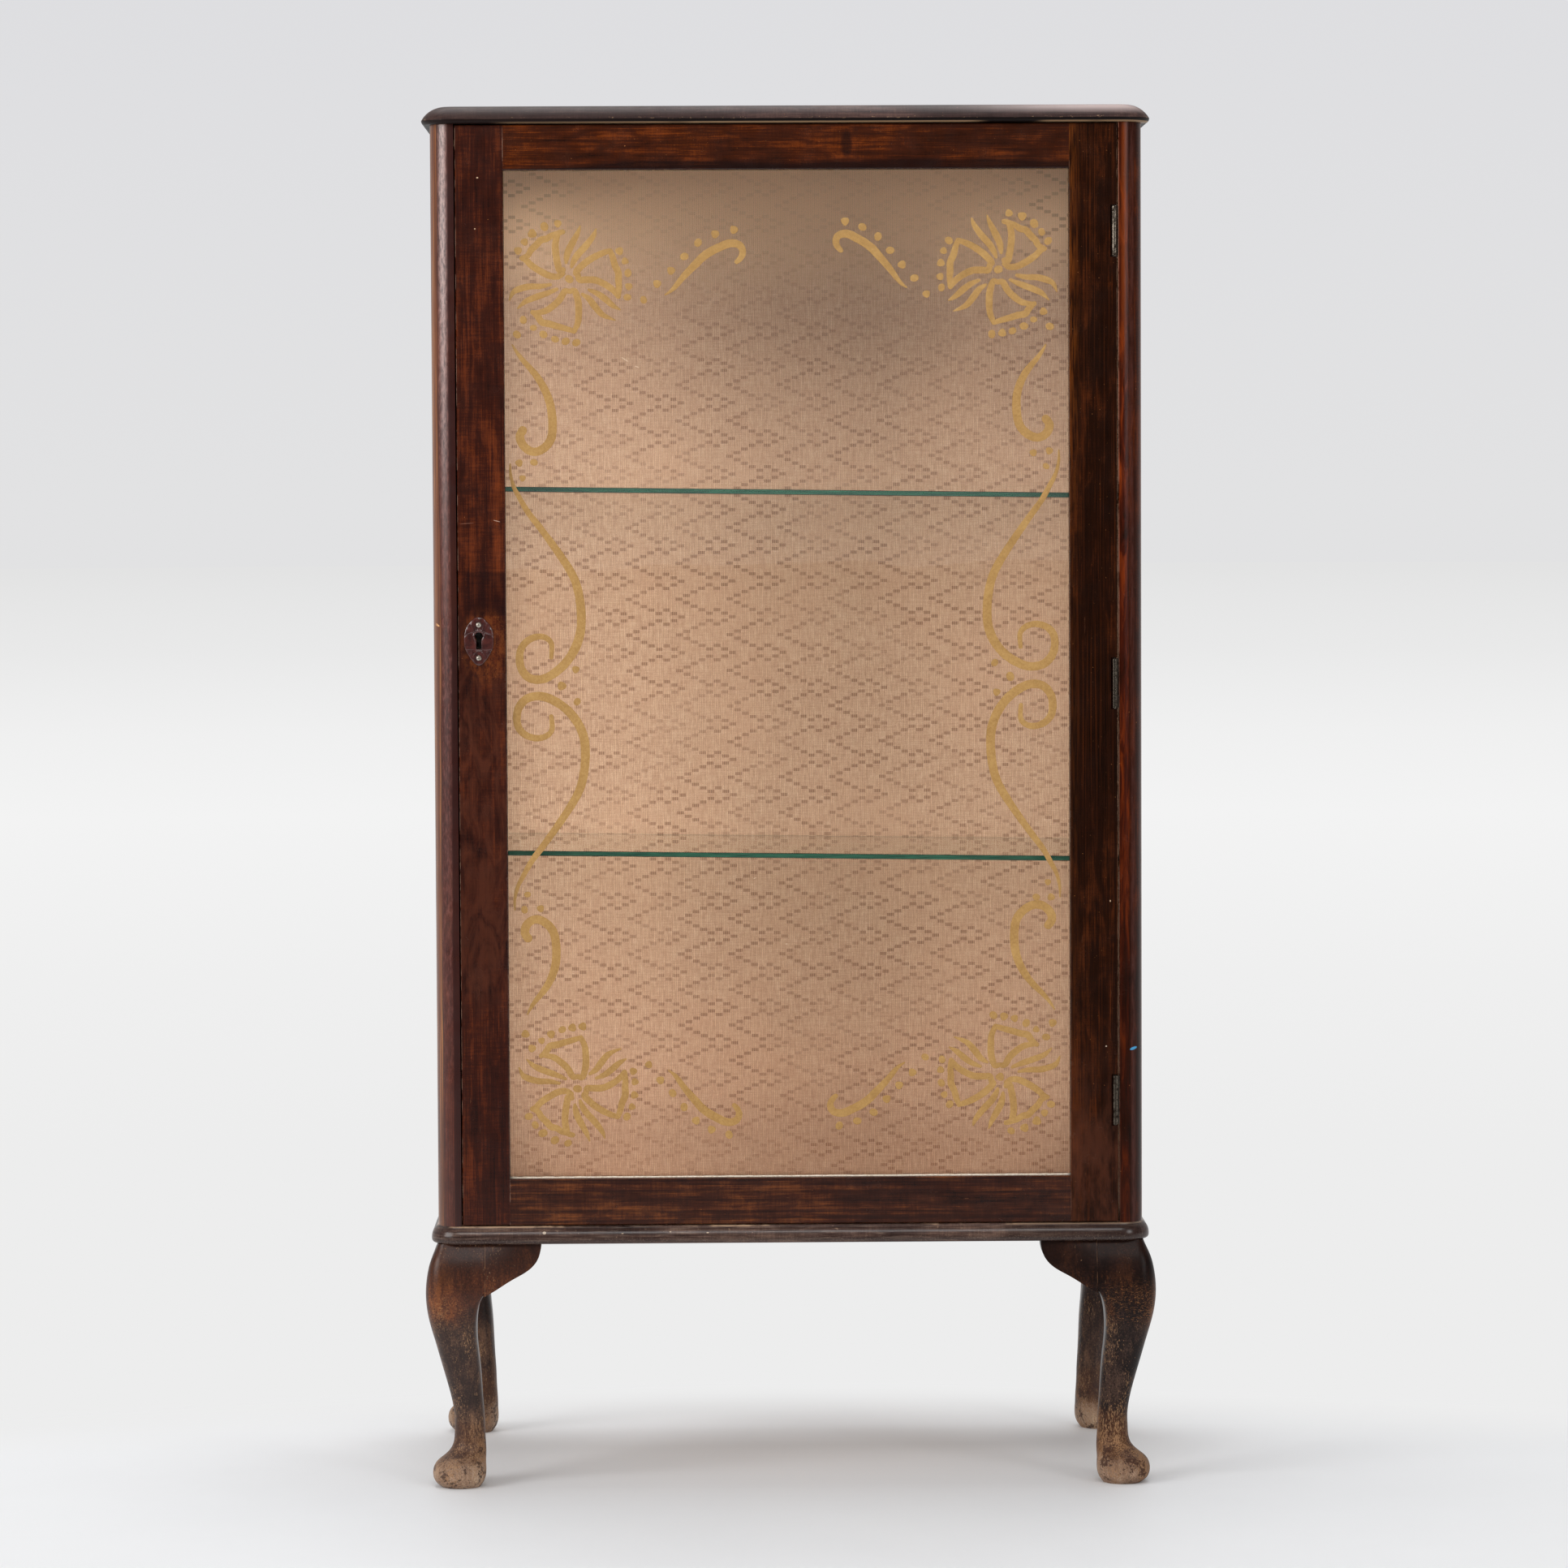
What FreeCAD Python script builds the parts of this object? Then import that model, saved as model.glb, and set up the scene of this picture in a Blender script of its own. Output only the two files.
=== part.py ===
import FreeCAD, Part
import math
import os

# Display cabinet on four curved legs, with one glazed door, glazed sides and two glass shelves.
# Millimetres. X to the right, Y to the back, Z up. The origin is on the floor under the middle.

# Case
case_w = 625.0
case_d = 320.0
case_h = 970.0
side_t = 21.3
front_post_d = 75.0
back_post_d = 42.0
post_round = 20.0
side_top_rail_h = 40.4
side_bottom_rail_h = 42.0
side_tenon_l = 15.0
side_tenon_t = 5.0
side_tenon_set = 2.6
tenon_shoulder = 6.0
edge_break = 0.5

# Top board and its thumbnail edge
top_t = 16.0
top_overhang = 7.5
top_foot_out = 4.5
top_arris_rise = 4.0
top_shoulder_in = 13.0
top_panel_t = 12.0
top_screw_l = 24.0
top_screw_inset_x = 120.0
top_screw_inset_y = 45.0

# Base board and the moulding round it
base_t = 15.5
base_overhang = 6.0
base_foot_out = 3.0
base_arris_rise = 3.2
moulding_w = 20.0

# Legs
leg_h = 218.5
leg_block_w = 41.0
wing_l = 50.5
wing_h = 47.5
wing_t = 22.0
wing_seam = 0.1
leg_screw_l = 52.0
leg_screw_r = 2.6
leg_screw_head_r = 5.0
leg_screw_head_h = 3.0
leg_screw_inset = 12.0
leg_screw_pitch = 18.0

# Back and linings
back_panel_t = 4.0
back_panel_lap = 8.0
back_recess = 1.0
lining_t = 0.8
nail_r = 0.8
nail_head_r = 2.0
nail_head_t = 0.6
nail_l = 12.0
nail_edge = 4.0
nail_count = 6
top_nail_inset = 16.0

# Shelves
shelf_t = 4.5
shelf_set_back = 39.7
shelf_side_gap = 1.5
shelf_back_gap = 0.5
shelf_drop = 8.8
upper_shelf_rise = 647.3
lower_shelf_rise = 323.3
shelf_arris = 0.4
shelf_pin_r = 2.5
shelf_pin_out = 9.0
shelf_pin_in = 9.0
shelf_pin_front_inset = 5.0
shelf_pin_back_inset = 14.0
shelf_seat_gap = 0.05

# Glazing
glass_t = 3.0
rebate_w = 8.0
bead_t = 8.0
glass_edge_gap = 0.4
bead_round = 4.0

# Door
door_t = 19.0
door_side_gap = 1.2
door_end_gap = 1.0
door_stop_gap = 0.3
stile_w = 42.0
door_top_rail_h = 39.4
door_bottom_rail_h = 41.0
sight_chamfer = 1.0
door_edge_break = 0.7
door_tenon_l = 30.0
door_tenon_t = 6.0
stop_w = 8.0
stop_t = 10.0
stop_end_gap = 6.0

# Hinges
hinge_h = 43.0
hinge_end_knuckle = 11.5
hinge_knuckle_gap = 0.2
hinge_barrel_r = 2.2
hinge_pin_r = 1.2
hinge_pin_clear = 0.04
hinge_pin_head_r = 1.8
hinge_pin_head_h = 0.8
hinge_leaf_t = 0.9
hinge_leaf_w = 14.0
hinge_inset = 2.5
hinge_proud = 1.2
hinge_plate_clear = 0.4
hinge_wood_clear = 1.4
hinge_end_clear = 0.5
hinge_top_inset = 94.2
hinge_middle_drop = 7.2
hinge_bottom_inset = 108.0
hinge_screw_r = 1.3
hinge_screw_head_r = 2.6
hinge_screw_head_h = 1.3
hinge_screw_l = 14.0
hinge_screw_pitch = 26.0

# Keyhole plate
plate_w = 26.0
plate_h = 42.2
plate_edge_t = 1.0
plate_t = 2.2
plate_bevel = 1.4
plate_boss_t = 0.5
plate_boss_h = 16.0
plate_boss_inset = 1.8
plate_rim_w = 0.9
plate_rim_t = 0.5
plate_lift = 32.4
plate_pin_pitch = 29.2
plate_pin_r = 0.9
plate_pin_head_r = 2.4
plate_pin_head_h = 1.2
plate_pin_l = 9.0
keyhole_in = 18.0
keyhole_rise = 4.9
keyhole_r = 3.45
keyhole_slot_w = 4.6
keyhole_slot_l = 11.7

# Lock
lock_w = 32.0
lock_h = 52.0
lock_t = 9.5
lock_wall = 1.2
lock_flange = 8.0
lock_edge_plate_t = 1.5
lock_edge_plate_w = 12.0
lock_edge_plate_lap = 6.0
lock_rise = 3.0
lock_screw_r = 1.2
lock_screw_head_r = 2.3
lock_screw_head_h = 1.1
lock_screw_l = 8.0
bolt_h = 14.0
bolt_t = 6.0
bolt_l = 23.0
bolt_clear = 0.15
bolt_rise = 12.0
bolt_throw = 6.0
bolt_set_back = 0.2
bolt_notch_w = 6.0
bolt_notch_h = 4.0
strike_h = 42.0
strike_w = 11.0
strike_t = 1.0
strike_pocket_clear = 0.4
strike_screw_pitch = 32.0
strike_screw_l = 10.0

# Heights and planes that follow from the sizes above
base_z = leg_h
case_z = base_z + base_t
top_z = case_z + case_h
half_w = case_w / 2
half_d = case_d / 2
inner_x = half_w - side_t
front_y = -half_d
back_y = half_d
corner_x = half_w - post_round
corner_y = front_y + post_round
lining_y = back_y - back_recess - back_panel_t - lining_t
rebate_d = glass_t + bead_t

door_half_w = inner_x - door_side_gap
door_low_z = case_z + door_end_gap
door_high_z = top_z - door_end_gap
door_back_y = front_y + door_t
sight_half_w = door_half_w - stile_w
sight_low_z = door_low_z + door_bottom_rail_h
sight_high_z = door_high_z - door_top_rail_h

side_front_y = front_y + front_post_d
side_back_y = back_y - back_post_d
side_low_z = case_z + side_bottom_rail_h
side_high_z = top_z - side_top_rail_h

door_middle_z = (door_low_z + door_high_z) / 2

upper_shelf_z = case_z + upper_shelf_rise
lower_shelf_z = case_z + lower_shelf_rise
shelf_front_y = door_back_y + shelf_set_back
shelf_back_y = lining_y - shelf_back_gap

hinge_x = door_half_w - hinge_inset
hinge_y = front_y - hinge_proud
hinge_top_z = door_high_z - hinge_top_inset
hinge_middle_z = door_middle_z - hinge_middle_drop
hinge_bottom_z = door_low_z + hinge_bottom_inset
keyhole_x = -door_half_w + keyhole_in
plate_z = door_middle_z + plate_lift
keyhole_z = plate_z + keyhole_rise
lock_z = keyhole_z + lock_rise
bolt_z = keyhole_z + bolt_rise
lock_mid_y = door_back_y - lock_t / 2

# Leg outline: height, stand-out beyond the case, width, and the roundness of the outer, side and
# inner corners. Height is a share of leg_h, the next two of leg_block_w, the rest of half the width.
leg_outline_shares = [
    (1.000, 0.000, 1.000, 0.34, 0.03, 0.10),
    (0.945, 0.130, 1.165, 0.42, 0.03, 0.10),
    (0.875, 0.232, 1.290, 0.50, 0.05, 0.15),
    (0.795, 0.268, 1.258, 0.56, 0.12, 0.25),
    (0.750, 0.254, 1.136, 0.60, 0.34, 0.36),
    (0.700, 0.214, 1.050, 0.64, 0.48, 0.46),
    (0.625, 0.116, 0.940, 0.70, 0.60, 0.58),
    (0.525, -0.024, 0.846, 0.76, 0.70, 0.68),
    (0.420, -0.172, 0.738, 0.80, 0.78, 0.76),
    (0.340, -0.270, 0.664, 0.85, 0.84, 0.82),
    (0.270, -0.314, 0.646, 0.90, 0.88, 0.88),
    (0.205, -0.304, 0.668, 0.93, 0.92, 0.92),
    (0.160, -0.256, 0.730, 0.95, 0.94, 0.94),
    (0.125, -0.095, 0.895, 0.96, 0.95, 0.95),
    (0.092, 0.110, 1.100, 0.96, 0.96, 0.96),
    (0.056, 0.158, 1.150, 0.96, 0.96, 0.96),
    (0.023, 0.104, 1.050, 0.96, 0.96, 0.96),
    (0.000, -0.030, 0.830, 0.96, 0.96, 0.96),
]

# The outline's upper rows, down to below the knee, also shape the wings beside it
knee_row_count = 5

# Underside of a knee wing: along its length, and down from its top
wing_curve_shares = [
    (1.000, 0.000),
    (0.985, 0.140),
    (0.940, 0.290),
    (0.800, 0.470),
    (0.500, 0.655),
    (0.180, 0.860),
    (-0.080, 1.000),
]
wing_tip_swell_share = 0.18

# Keyhole plate: where its bowed sides end and its rounded tips start, of half its width and height
plate_shoulder_shares = (0.87, 0.385)
plate_tip_shares = (0.28, 0.90)

# Bulges of a moulded edge's undercut and shoulder, of a pin's dome, and the point of a screw
undercut_shares = (0.72, 0.32)
shoulder_shares = (0.80, 0.56)
top_shoulder_shares = (0.58, 0.73)
pin_dome_share = 0.68
screw_point_share = 0.25


def box(low, high):
    """Box between two opposite corners."""
    size = [abs(high[i] - low[i]) for i in range(3)]
    corner = FreeCAD.Vector(*[min(low[i], high[i]) for i in range(3)])
    return Part.makeBox(size[0], size[1], size[2], corner)


def cylinder(radius, length, start, direction):
    return Part.makeCylinder(radius, length, FreeCAD.Vector(*start), FreeCAD.Vector(*direction))


def cone(radius_start, radius_end, length, start, direction):
    return Part.makeCone(radius_start, radius_end, length, FreeCAD.Vector(*start), FreeCAD.Vector(*direction))


def mirror_x(shape):
    return shape.mirror(FreeCAD.Vector(0, 0, 0), FreeCAD.Vector(1, 0, 0))


def mirror_y(shape):
    return shape.mirror(FreeCAD.Vector(0, 0, 0), FreeCAD.Vector(0, 1, 0))


def joined(shapes):
    """One solid from shapes that overlap or share faces."""
    result = shapes[0]
    for shape in shapes[1:]:
        result = result.fuse(shape)
    return result.removeSplitter()


def main_solid(shape):
    """The largest solid that a cut leaves."""
    return max(shape.Solids, key=lambda solid: solid.Volume)


def group(shapes):
    """Separate solids of one sort, kept in one node."""
    return Part.makeCompound(shapes)


def wood_screw(start, direction, length, radius, head_radius, head_height):
    """Countersunk screw with its flat head at start, its shank along direction."""
    d = FreeCAD.Vector(*direction)
    head = cone(head_radius, radius, head_height, start, direction)
    neck = FreeCAD.Vector(*start) + d * head_height
    shank_l = length - head_height - radius
    shank = cylinder(radius, shank_l, tuple(neck), direction)
    tip = cone(radius, radius * screw_point_share, radius, tuple(neck + d * shank_l), direction)
    return joined([head, shank, tip])


def chamfered_opening(half_x, low_z, high_z, chamfer, y):
    """Cutter that bevels the front edge of a frame's opening all round, at the front plane y."""
    wires = []
    for grow, depth in ((chamfer * 2, -chamfer), (0, chamfer)):
        wires.append(Part.makePolygon([
            FreeCAD.Vector(-half_x - grow, y + depth, low_z - grow),
            FreeCAD.Vector(half_x + grow, y + depth, low_z - grow),
            FreeCAD.Vector(half_x + grow, y + depth, high_z + grow),
            FreeCAD.Vector(-half_x - grow, y + depth, high_z + grow),
            FreeCAD.Vector(-half_x - grow, y + depth, low_z - grow),
        ]))
    return Part.makeLoft(wires, True, True)


def front_beveled_block(half_x, low_z, high_z, y_front, y_back, bevel):
    """Block whose four front edges are bevelled: the envelope of the door."""
    block = box((-half_x, y_front, low_z), (half_x, y_back, high_z))
    front = [e for e in block.Edges if all(abs(v.Point.y - y_front) < bevel / 2 for v in e.Vertexes)]
    return block.makeChamfer(bevel, front)


# Mouldings


def moulding_face(overhang, foot_out, rise, height, depth, base_radius, shoulder_in, crown_shares):
    """Section of a moulded edge: undercut foot, arris, then a long rounded shoulder to the top."""
    def at(out, up):
        return FreeCAD.Vector(base_radius + out, 0, up)
    foot = at(foot_out, 0)
    tip = at(overhang, rise)
    shoulder = at(-shoulder_in, height)
    under = at(foot_out + (overhang - foot_out) * undercut_shares[0], rise * undercut_shares[1])
    crown = at((overhang + shoulder_in) * crown_shares[0] - shoulder_in,
               rise + (height - rise) * crown_shares[1])
    edges = [
        Part.makeLine(at(-depth, 0), foot),
        Part.Arc(foot, under, tip).toShape(),
        Part.Arc(tip, crown, shoulder).toShape(),
        Part.makeLine(shoulder, at(-depth, height)),
        Part.makeLine(at(-depth, height), at(-depth, 0)),
    ]
    return Part.Face(Part.Wire(edges))


def turned_corner(face, centre, start_deg, sweep_deg):
    """The section turned about a vertical axis, as at a rounded corner in plan."""
    turned = face.revolve(FreeCAD.Vector(0, 0, 0), FreeCAD.Vector(0, 0, 1), sweep_deg)
    turned.rotate(FreeCAD.Vector(0, 0, 0), FreeCAD.Vector(0, 0, 1), start_deg)
    turned.translate(FreeCAD.Vector(*centre))
    return turned


def straight_run(face, centre, facing_deg, length_vector):
    """The section carried along a straight side."""
    turned = face.copy()
    turned.rotate(FreeCAD.Vector(0, 0, 0), FreeCAD.Vector(0, 0, 1), facing_deg)
    turned.translate(FreeCAD.Vector(*centre))
    return turned.extrude(FreeCAD.Vector(*length_vector))


def make_top_board():
    face = moulding_face(top_overhang, top_foot_out, top_arris_rise, top_t, post_round, post_round,
                         top_shoulder_in, top_shoulder_shares)
    pieces = [box((-corner_x, corner_y, top_z), (corner_x, back_y, top_z + top_t))]
    pieces.append(straight_run(face, (-corner_x, corner_y, top_z), 270, (2 * corner_x, 0, 0)))
    for side in (-1, 1):
        centre = (side * corner_x, corner_y, top_z)
        facing = 180 if side < 0 else 0
        start = 180 if side < 0 else 270
        pieces.append(straight_run(face, centre, facing, (0, back_y - corner_y, 0)))
        pieces.append(turned_corner(face, centre, start, 90))
    return joined(pieces)


def base_section():
    return moulding_face(base_overhang, base_foot_out, base_arris_rise, base_t,
                         moulding_w - base_overhang, post_round, 0, shoulder_shares)


def make_base_front_moulding():
    face = base_section()
    left = (-corner_x, corner_y, base_z)
    right = (corner_x, corner_y, base_z)
    return joined([
        straight_run(face, left, 270, (2 * corner_x, 0, 0)),
        turned_corner(face, left, 225, 45),
        turned_corner(face, right, 270, 45),
    ])


def make_base_left_moulding():
    face = base_section()
    centre = (-corner_x, corner_y, base_z)
    return joined([
        straight_run(face, centre, 180, (0, back_y - corner_y, 0)),
        turned_corner(face, centre, 180, 45),
    ])


def make_base_board():
    inset = moulding_w - base_overhang
    board = box((-half_w + inset, front_y + inset, base_z), (half_w - inset, back_y, case_z))
    corners = [e for e in board.Edges
               if all(abs(v.Point.y - front_y - inset) < edge_break for v in e.Vertexes)
               and abs(e.Vertexes[0].Point.z - e.Vertexes[-1].Point.z) > edge_break]
    return board.makeFillet(post_round - inset, corners)


# Legs


def leg_section(out, width, round_outer, round_side, round_inner, z):
    """Square with four rounded corners, its outer corner pointing away from the cabinet."""
    low = -out
    high = -out + width
    half = width / 2
    radii = {
        (low, low): round_outer * half,
        (high, low): round_side * half,
        (high, high): round_inner * half,
        (low, high): round_side * half,
    }
    corners = [(low, low), (high, low), (high, high), (low, high)]
    edges = []
    for i in range(len(corners)):
        here = corners[i]
        after = corners[(i + 1) % len(corners)]
        before = corners[i - 1]
        r = radii[here]
        step_in = [(before[k] - here[k]) / width for k in range(2)]
        step_out = [(after[k] - here[k]) / width for k in range(2)]
        start = [here[k] + step_in[k] * r for k in range(2)]
        end = [here[k] + step_out[k] * r for k in range(2)]
        middle = [here[k] + (step_in[k] + step_out[k]) * r * (1 - math.sqrt(0.5)) for k in range(2)]
        edges.append(Part.Arc(FreeCAD.Vector(start[0], start[1], z),
                              FreeCAD.Vector(middle[0], middle[1], z),
                              FreeCAD.Vector(end[0], end[1], z)).toShape())
        after_r = radii[after]
        stop = [after[k] - step_out[k] * after_r for k in range(2)]
        edges.append(Part.makeLine(FreeCAD.Vector(end[0], end[1], z), FreeCAD.Vector(stop[0], stop[1], z)))
    return Part.Wire(edges)


def make_leg():
    """Front left leg: sections along a double curve, from the square block down to the pad foot.

    Its two inner sides are planed flat where the knee wings are glued on.
    """
    wires = []
    for height, out, width, outer, side, inner in leg_outline_shares:
        wires.append(leg_section(out * leg_block_w, width * leg_block_w, outer, side, inner, height * leg_h))
    leg = Part.makeLoft(wires, True, False)
    reach = 2 * leg_block_w
    for low in ((leg_block_w, -reach, leg_h - wing_h), (-reach, leg_block_w, leg_h - wing_h)):
        leg = leg.cut(box(low, (reach, reach, leg_h)))
    leg.translate(FreeCAD.Vector(-half_w, front_y, 0))
    return leg


def knee_swell(height_share):
    """How far the leg stands out beyond the case at a height, from its outline."""
    rows = leg_outline_shares
    for upper, lower in zip(rows, rows[1:]):
        if upper[0] >= height_share >= lower[0]:
            part = (upper[0] - height_share) / (upper[0] - lower[0])
            return (upper[1] + (lower[1] - upper[1]) * part) * leg_block_w
    return rows[-1][1] * leg_block_w


def wing_end(x, share):
    """Cross-section of the wing's block at one end, with the knee's swell times a share."""
    heights = [row[0] for row in leg_outline_shares[:knee_row_count]]
    front = [FreeCAD.Vector(x, -knee_swell(h) * share, h * leg_h) for h in heights]
    curve = Part.BSplineCurve()
    curve.interpolate(front)
    back_top = FreeCAD.Vector(x, wing_t, leg_h)
    back_low = FreeCAD.Vector(x, wing_t, front[-1].z)
    return Part.Wire([
        curve.toShape(),
        Part.makeLine(front[-1], back_low),
        Part.makeLine(back_low, back_top),
        Part.makeLine(back_top, front[0]),
    ])


def make_wing():
    """Wing beside the front left leg, under the front: it carries the knee's curve along the base."""
    start = leg_block_w + wing_seam
    end = leg_block_w + wing_l
    block = Part.makeLoft([wing_end(start, 1), wing_end(end, wing_tip_swell_share)], True, True)
    points = []
    for along, down in wing_curve_shares:
        points.append(FreeCAD.Vector(leg_block_w + along * wing_l, -leg_block_w, leg_h - down * wing_h))
    curve = Part.BSplineCurve()
    curve.interpolate(points)
    back_top = FreeCAD.Vector(points[-1].x, points[-1].y, leg_h)
    outline = Part.Wire([
        curve.toShape(),
        Part.makeLine(points[-1], back_top),
        Part.makeLine(back_top, points[0]),
    ])
    cutter = Part.Face(outline).extrude(FreeCAD.Vector(0, 2 * leg_block_w, 0))
    wing = block.common(cutter)
    wing.translate(FreeCAD.Vector(-half_w, front_y, 0))
    return main_solid(wing)


def swapped_about_corner(shape):
    """Mirror a piece of the front left corner across its diagonal."""
    corner = FreeCAD.Vector(-half_w, front_y, 0)
    return shape.mirror(corner, FreeCAD.Vector(1, -1, 0).normalize())


def leg_screws_at(side_x, side_y):
    screws = []
    for step in (0, 1):
        x = side_x * (half_w - leg_screw_inset - step * leg_screw_pitch)
        y = side_y * (half_d - leg_screw_inset - (1 - step) * leg_screw_pitch)
        screws.append(wood_screw((x, y, case_z), (0, 0, -1), leg_screw_l, leg_screw_r,
                                 leg_screw_head_r, leg_screw_head_h))
    return screws


def make_legs(parts):
    leg = make_leg()
    wing = make_wing()
    wings = group([wing, swapped_about_corner(wing)])
    screws = []
    for name, side_x, side_y in (("front_left", -1, -1), ("front_right", 1, -1),
                                 ("back_left", -1, 1), ("back_right", 1, 1)):
        placed_leg = leg
        placed_wings = wings
        if side_x > 0:
            placed_leg = mirror_x(placed_leg)
            placed_wings = mirror_x(placed_wings)
        if side_y > 0:
            placed_leg = mirror_y(placed_leg)
            placed_wings = mirror_y(placed_wings)
        own = leg_screws_at(side_x, side_y)
        for screw in own:
            placed_leg = placed_leg.cut(screw)
        parts["leg_" + name] = placed_leg
        parts["knee_wings_" + name] = placed_wings
        screws += own
    parts["leg_screws"] = group(screws)
    for name in ("base_board", "base_front_moulding", "base_left_moulding", "base_right_moulding"):
        for screw in screws:
            parts[name] = parts[name].cut(screw)


# Sides


def side_rebate():
    """Space for the left side's glass and beads, cut from the inside."""
    return box((-inner_x, side_front_y - rebate_w, side_low_z - rebate_w),
               (-inner_x - rebate_d, side_back_y + rebate_w, side_high_z + rebate_w))


def side_tenon(y, toward, low_z, high_z):
    """Tongue on the end of a side rail; toward is -1 at the front post and 1 at the back post."""
    outer_x = -half_w + side_tenon_set
    return box((outer_x, y, low_z + tenon_shoulder),
               (outer_x + side_tenon_t, y + toward * side_tenon_l, high_z - tenon_shoulder))


def make_side_rail(low_z, high_z):
    rail = box((-half_w, side_front_y, low_z), (-inner_x, side_back_y, high_z))
    outer = [e for e in rail.Edges
             if all(abs(v.Point.x + half_w) < edge_break for v in e.Vertexes)
             and abs(e.Vertexes[0].Point.y - e.Vertexes[-1].Point.y) > side_tenon_l]
    rail = rail.makeChamfer(edge_break, outer)
    rail = rail.cut(side_rebate())
    return joined([rail, side_tenon(side_front_y, -1, low_z, high_z),
                   side_tenon(side_back_y, 1, low_z, high_z)])


def side_rail_spans():
    return {"bottom": (case_z, side_low_z), "top": (side_high_z, top_z)}


def make_front_post():
    """Left front post, its outer corner a quarter round."""
    block = box((-half_w, front_y, case_z), (-inner_x, side_front_y, top_z))
    corner = [e for e in block.Edges
              if all(abs(v.Point.x + half_w) < edge_break and abs(v.Point.y - front_y) < edge_break
                     for v in e.Vertexes)]
    post = block.makeFillet(post_round, corner)
    post = post.cut(side_rebate())
    for low_z, high_z in side_rail_spans().values():
        post = post.cut(side_tenon(side_front_y, -1, low_z, high_z))
    return post


def make_back_post():
    post = box((-half_w, side_back_y, case_z), (-inner_x, back_y, top_z))
    corner = [e for e in post.Edges
              if all(abs(v.Point.x + half_w) < edge_break and abs(v.Point.y - back_y) < edge_break
                     for v in e.Vertexes)]
    post = post.makeChamfer(edge_break, corner)
    post = post.cut(side_rebate())
    post = post.cut(box((-inner_x, back_y, case_z),
                        (-inner_x - back_panel_lap, back_y - back_recess - back_panel_t, top_z)))
    for low_z, high_z in side_rail_spans().values():
        post = post.cut(side_tenon(side_back_y, 1, low_z, high_z))
    return post


def make_side_glass():
    outer = -inner_x - rebate_d
    g = rebate_w - glass_edge_gap
    return box((outer, side_front_y - g, side_low_z - g), (outer + glass_t, side_back_y + g, side_high_z + g))


def bead(length, width, thickness, rounding):
    """Glazing bead along +Z: back on X=0, wall side on Y=0, its free corner rounded."""
    points = [
        FreeCAD.Vector(0, 0, 0),
        FreeCAD.Vector(thickness, 0, 0),
        FreeCAD.Vector(thickness, width - rounding, 0),
        FreeCAD.Vector(thickness - rounding, width, 0),
        FreeCAD.Vector(0, width, 0),
    ]
    bulge = rounding * (1 - math.sqrt(0.5))
    middle = FreeCAD.Vector(thickness - bulge, width - bulge, 0)
    edges = [
        Part.makeLine(points[0], points[1]),
        Part.makeLine(points[1], points[2]),
        Part.Arc(points[2], middle, points[3]).toShape(),
        Part.makeLine(points[3], points[4]),
        Part.makeLine(points[4], points[0]),
    ]
    return Part.Face(Part.Wire(edges)).extrude(FreeCAD.Vector(0, 0, length))


def laid(shape, back, wall, along, origin):
    """Turn a bead so that its X, Y and Z run along back, wall and along, from origin."""
    matrix = FreeCAD.Matrix(
        back[0], wall[0], along[0], origin[0],
        back[1], wall[1], along[1], origin[1],
        back[2], wall[2], along[2], origin[2],
        0, 0, 0, 1)
    return shape.transformGeometry(matrix)


def make_side_beads():
    """Four beads that hold the left side's glass: two upright, two lying between them."""
    x = -inner_x - bead_t
    upright_l = side_high_z - side_low_z + 2 * rebate_w
    lying_l = side_back_y - side_front_y
    upright = bead(upright_l, rebate_w, bead_t, bead_round)
    lying = bead(lying_l, rebate_w, bead_t, bead_round)
    inward = (1, 0, 0)
    low = side_low_z - rebate_w
    high = side_high_z + rebate_w
    return group([
        laid(upright, inward, (0, 1, 0), (0, 0, 1), (x, side_front_y - rebate_w, low)),
        laid(upright, inward, (0, -1, 0), (0, 0, 1), (x, side_back_y + rebate_w, low)),
        laid(lying, inward, (0, 0, 1), (0, 1, 0), (x, side_front_y, low)),
        laid(lying, inward, (0, 0, -1), (0, 1, 0), (x, side_front_y, high)),
    ])


def make_sides(parts):
    post = make_front_post()
    back_post = make_back_post()
    glass = make_side_glass()
    beads = make_side_beads()
    for name, turn in (("left", lambda s: s), ("right", mirror_x)):
        parts[name + "_front_post"] = turn(post)
        parts[name + "_back_post"] = turn(back_post)
        parts[name + "_side_glass"] = turn(glass)
        parts[name + "_side_beads"] = turn(beads)
        for place, (low_z, high_z) in side_rail_spans().items():
            parts[name + "_side_" + place + "_rail"] = turn(make_side_rail(low_z, high_z))


# Carcass


def make_case_top_panel():
    """Board under the top, whose front edge stops the door."""
    return box((-inner_x, door_back_y + door_stop_gap, top_z - top_panel_t),
               (inner_x, back_y - back_recess - back_panel_t, top_z))


def make_back_panel():
    reach = inner_x + back_panel_lap
    y = back_y - back_recess
    return box((-reach, y - back_panel_t, case_z), (reach, y, top_z))


def make_back_lining():
    return box((-inner_x, lining_y, case_z + lining_t),
               (inner_x, lining_y + lining_t, top_z - top_panel_t))


def make_floor_lining():
    return box((-inner_x, door_back_y + door_stop_gap, case_z),
               (inner_x, lining_y + lining_t, case_z + lining_t))


def make_door_stop():
    low = case_z + lining_t + stop_end_gap
    high = top_z - top_panel_t - stop_end_gap
    y = door_back_y + door_stop_gap
    return box((-inner_x, y, low), (-inner_x + stop_w, y + stop_t, high))


def make_top_screws():
    screws = []
    for side_x in (-1, 0, 1):
        for side_y in (-1, 1):
            x = side_x * (inner_x - top_screw_inset_x)
            y = side_y * (half_d - top_screw_inset_y)
            screws.append(wood_screw((x, y, top_z - top_panel_t), (0, 0, 1), top_screw_l,
                                     hinge_screw_r, hinge_screw_head_r, hinge_screw_head_h))
    return screws


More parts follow.
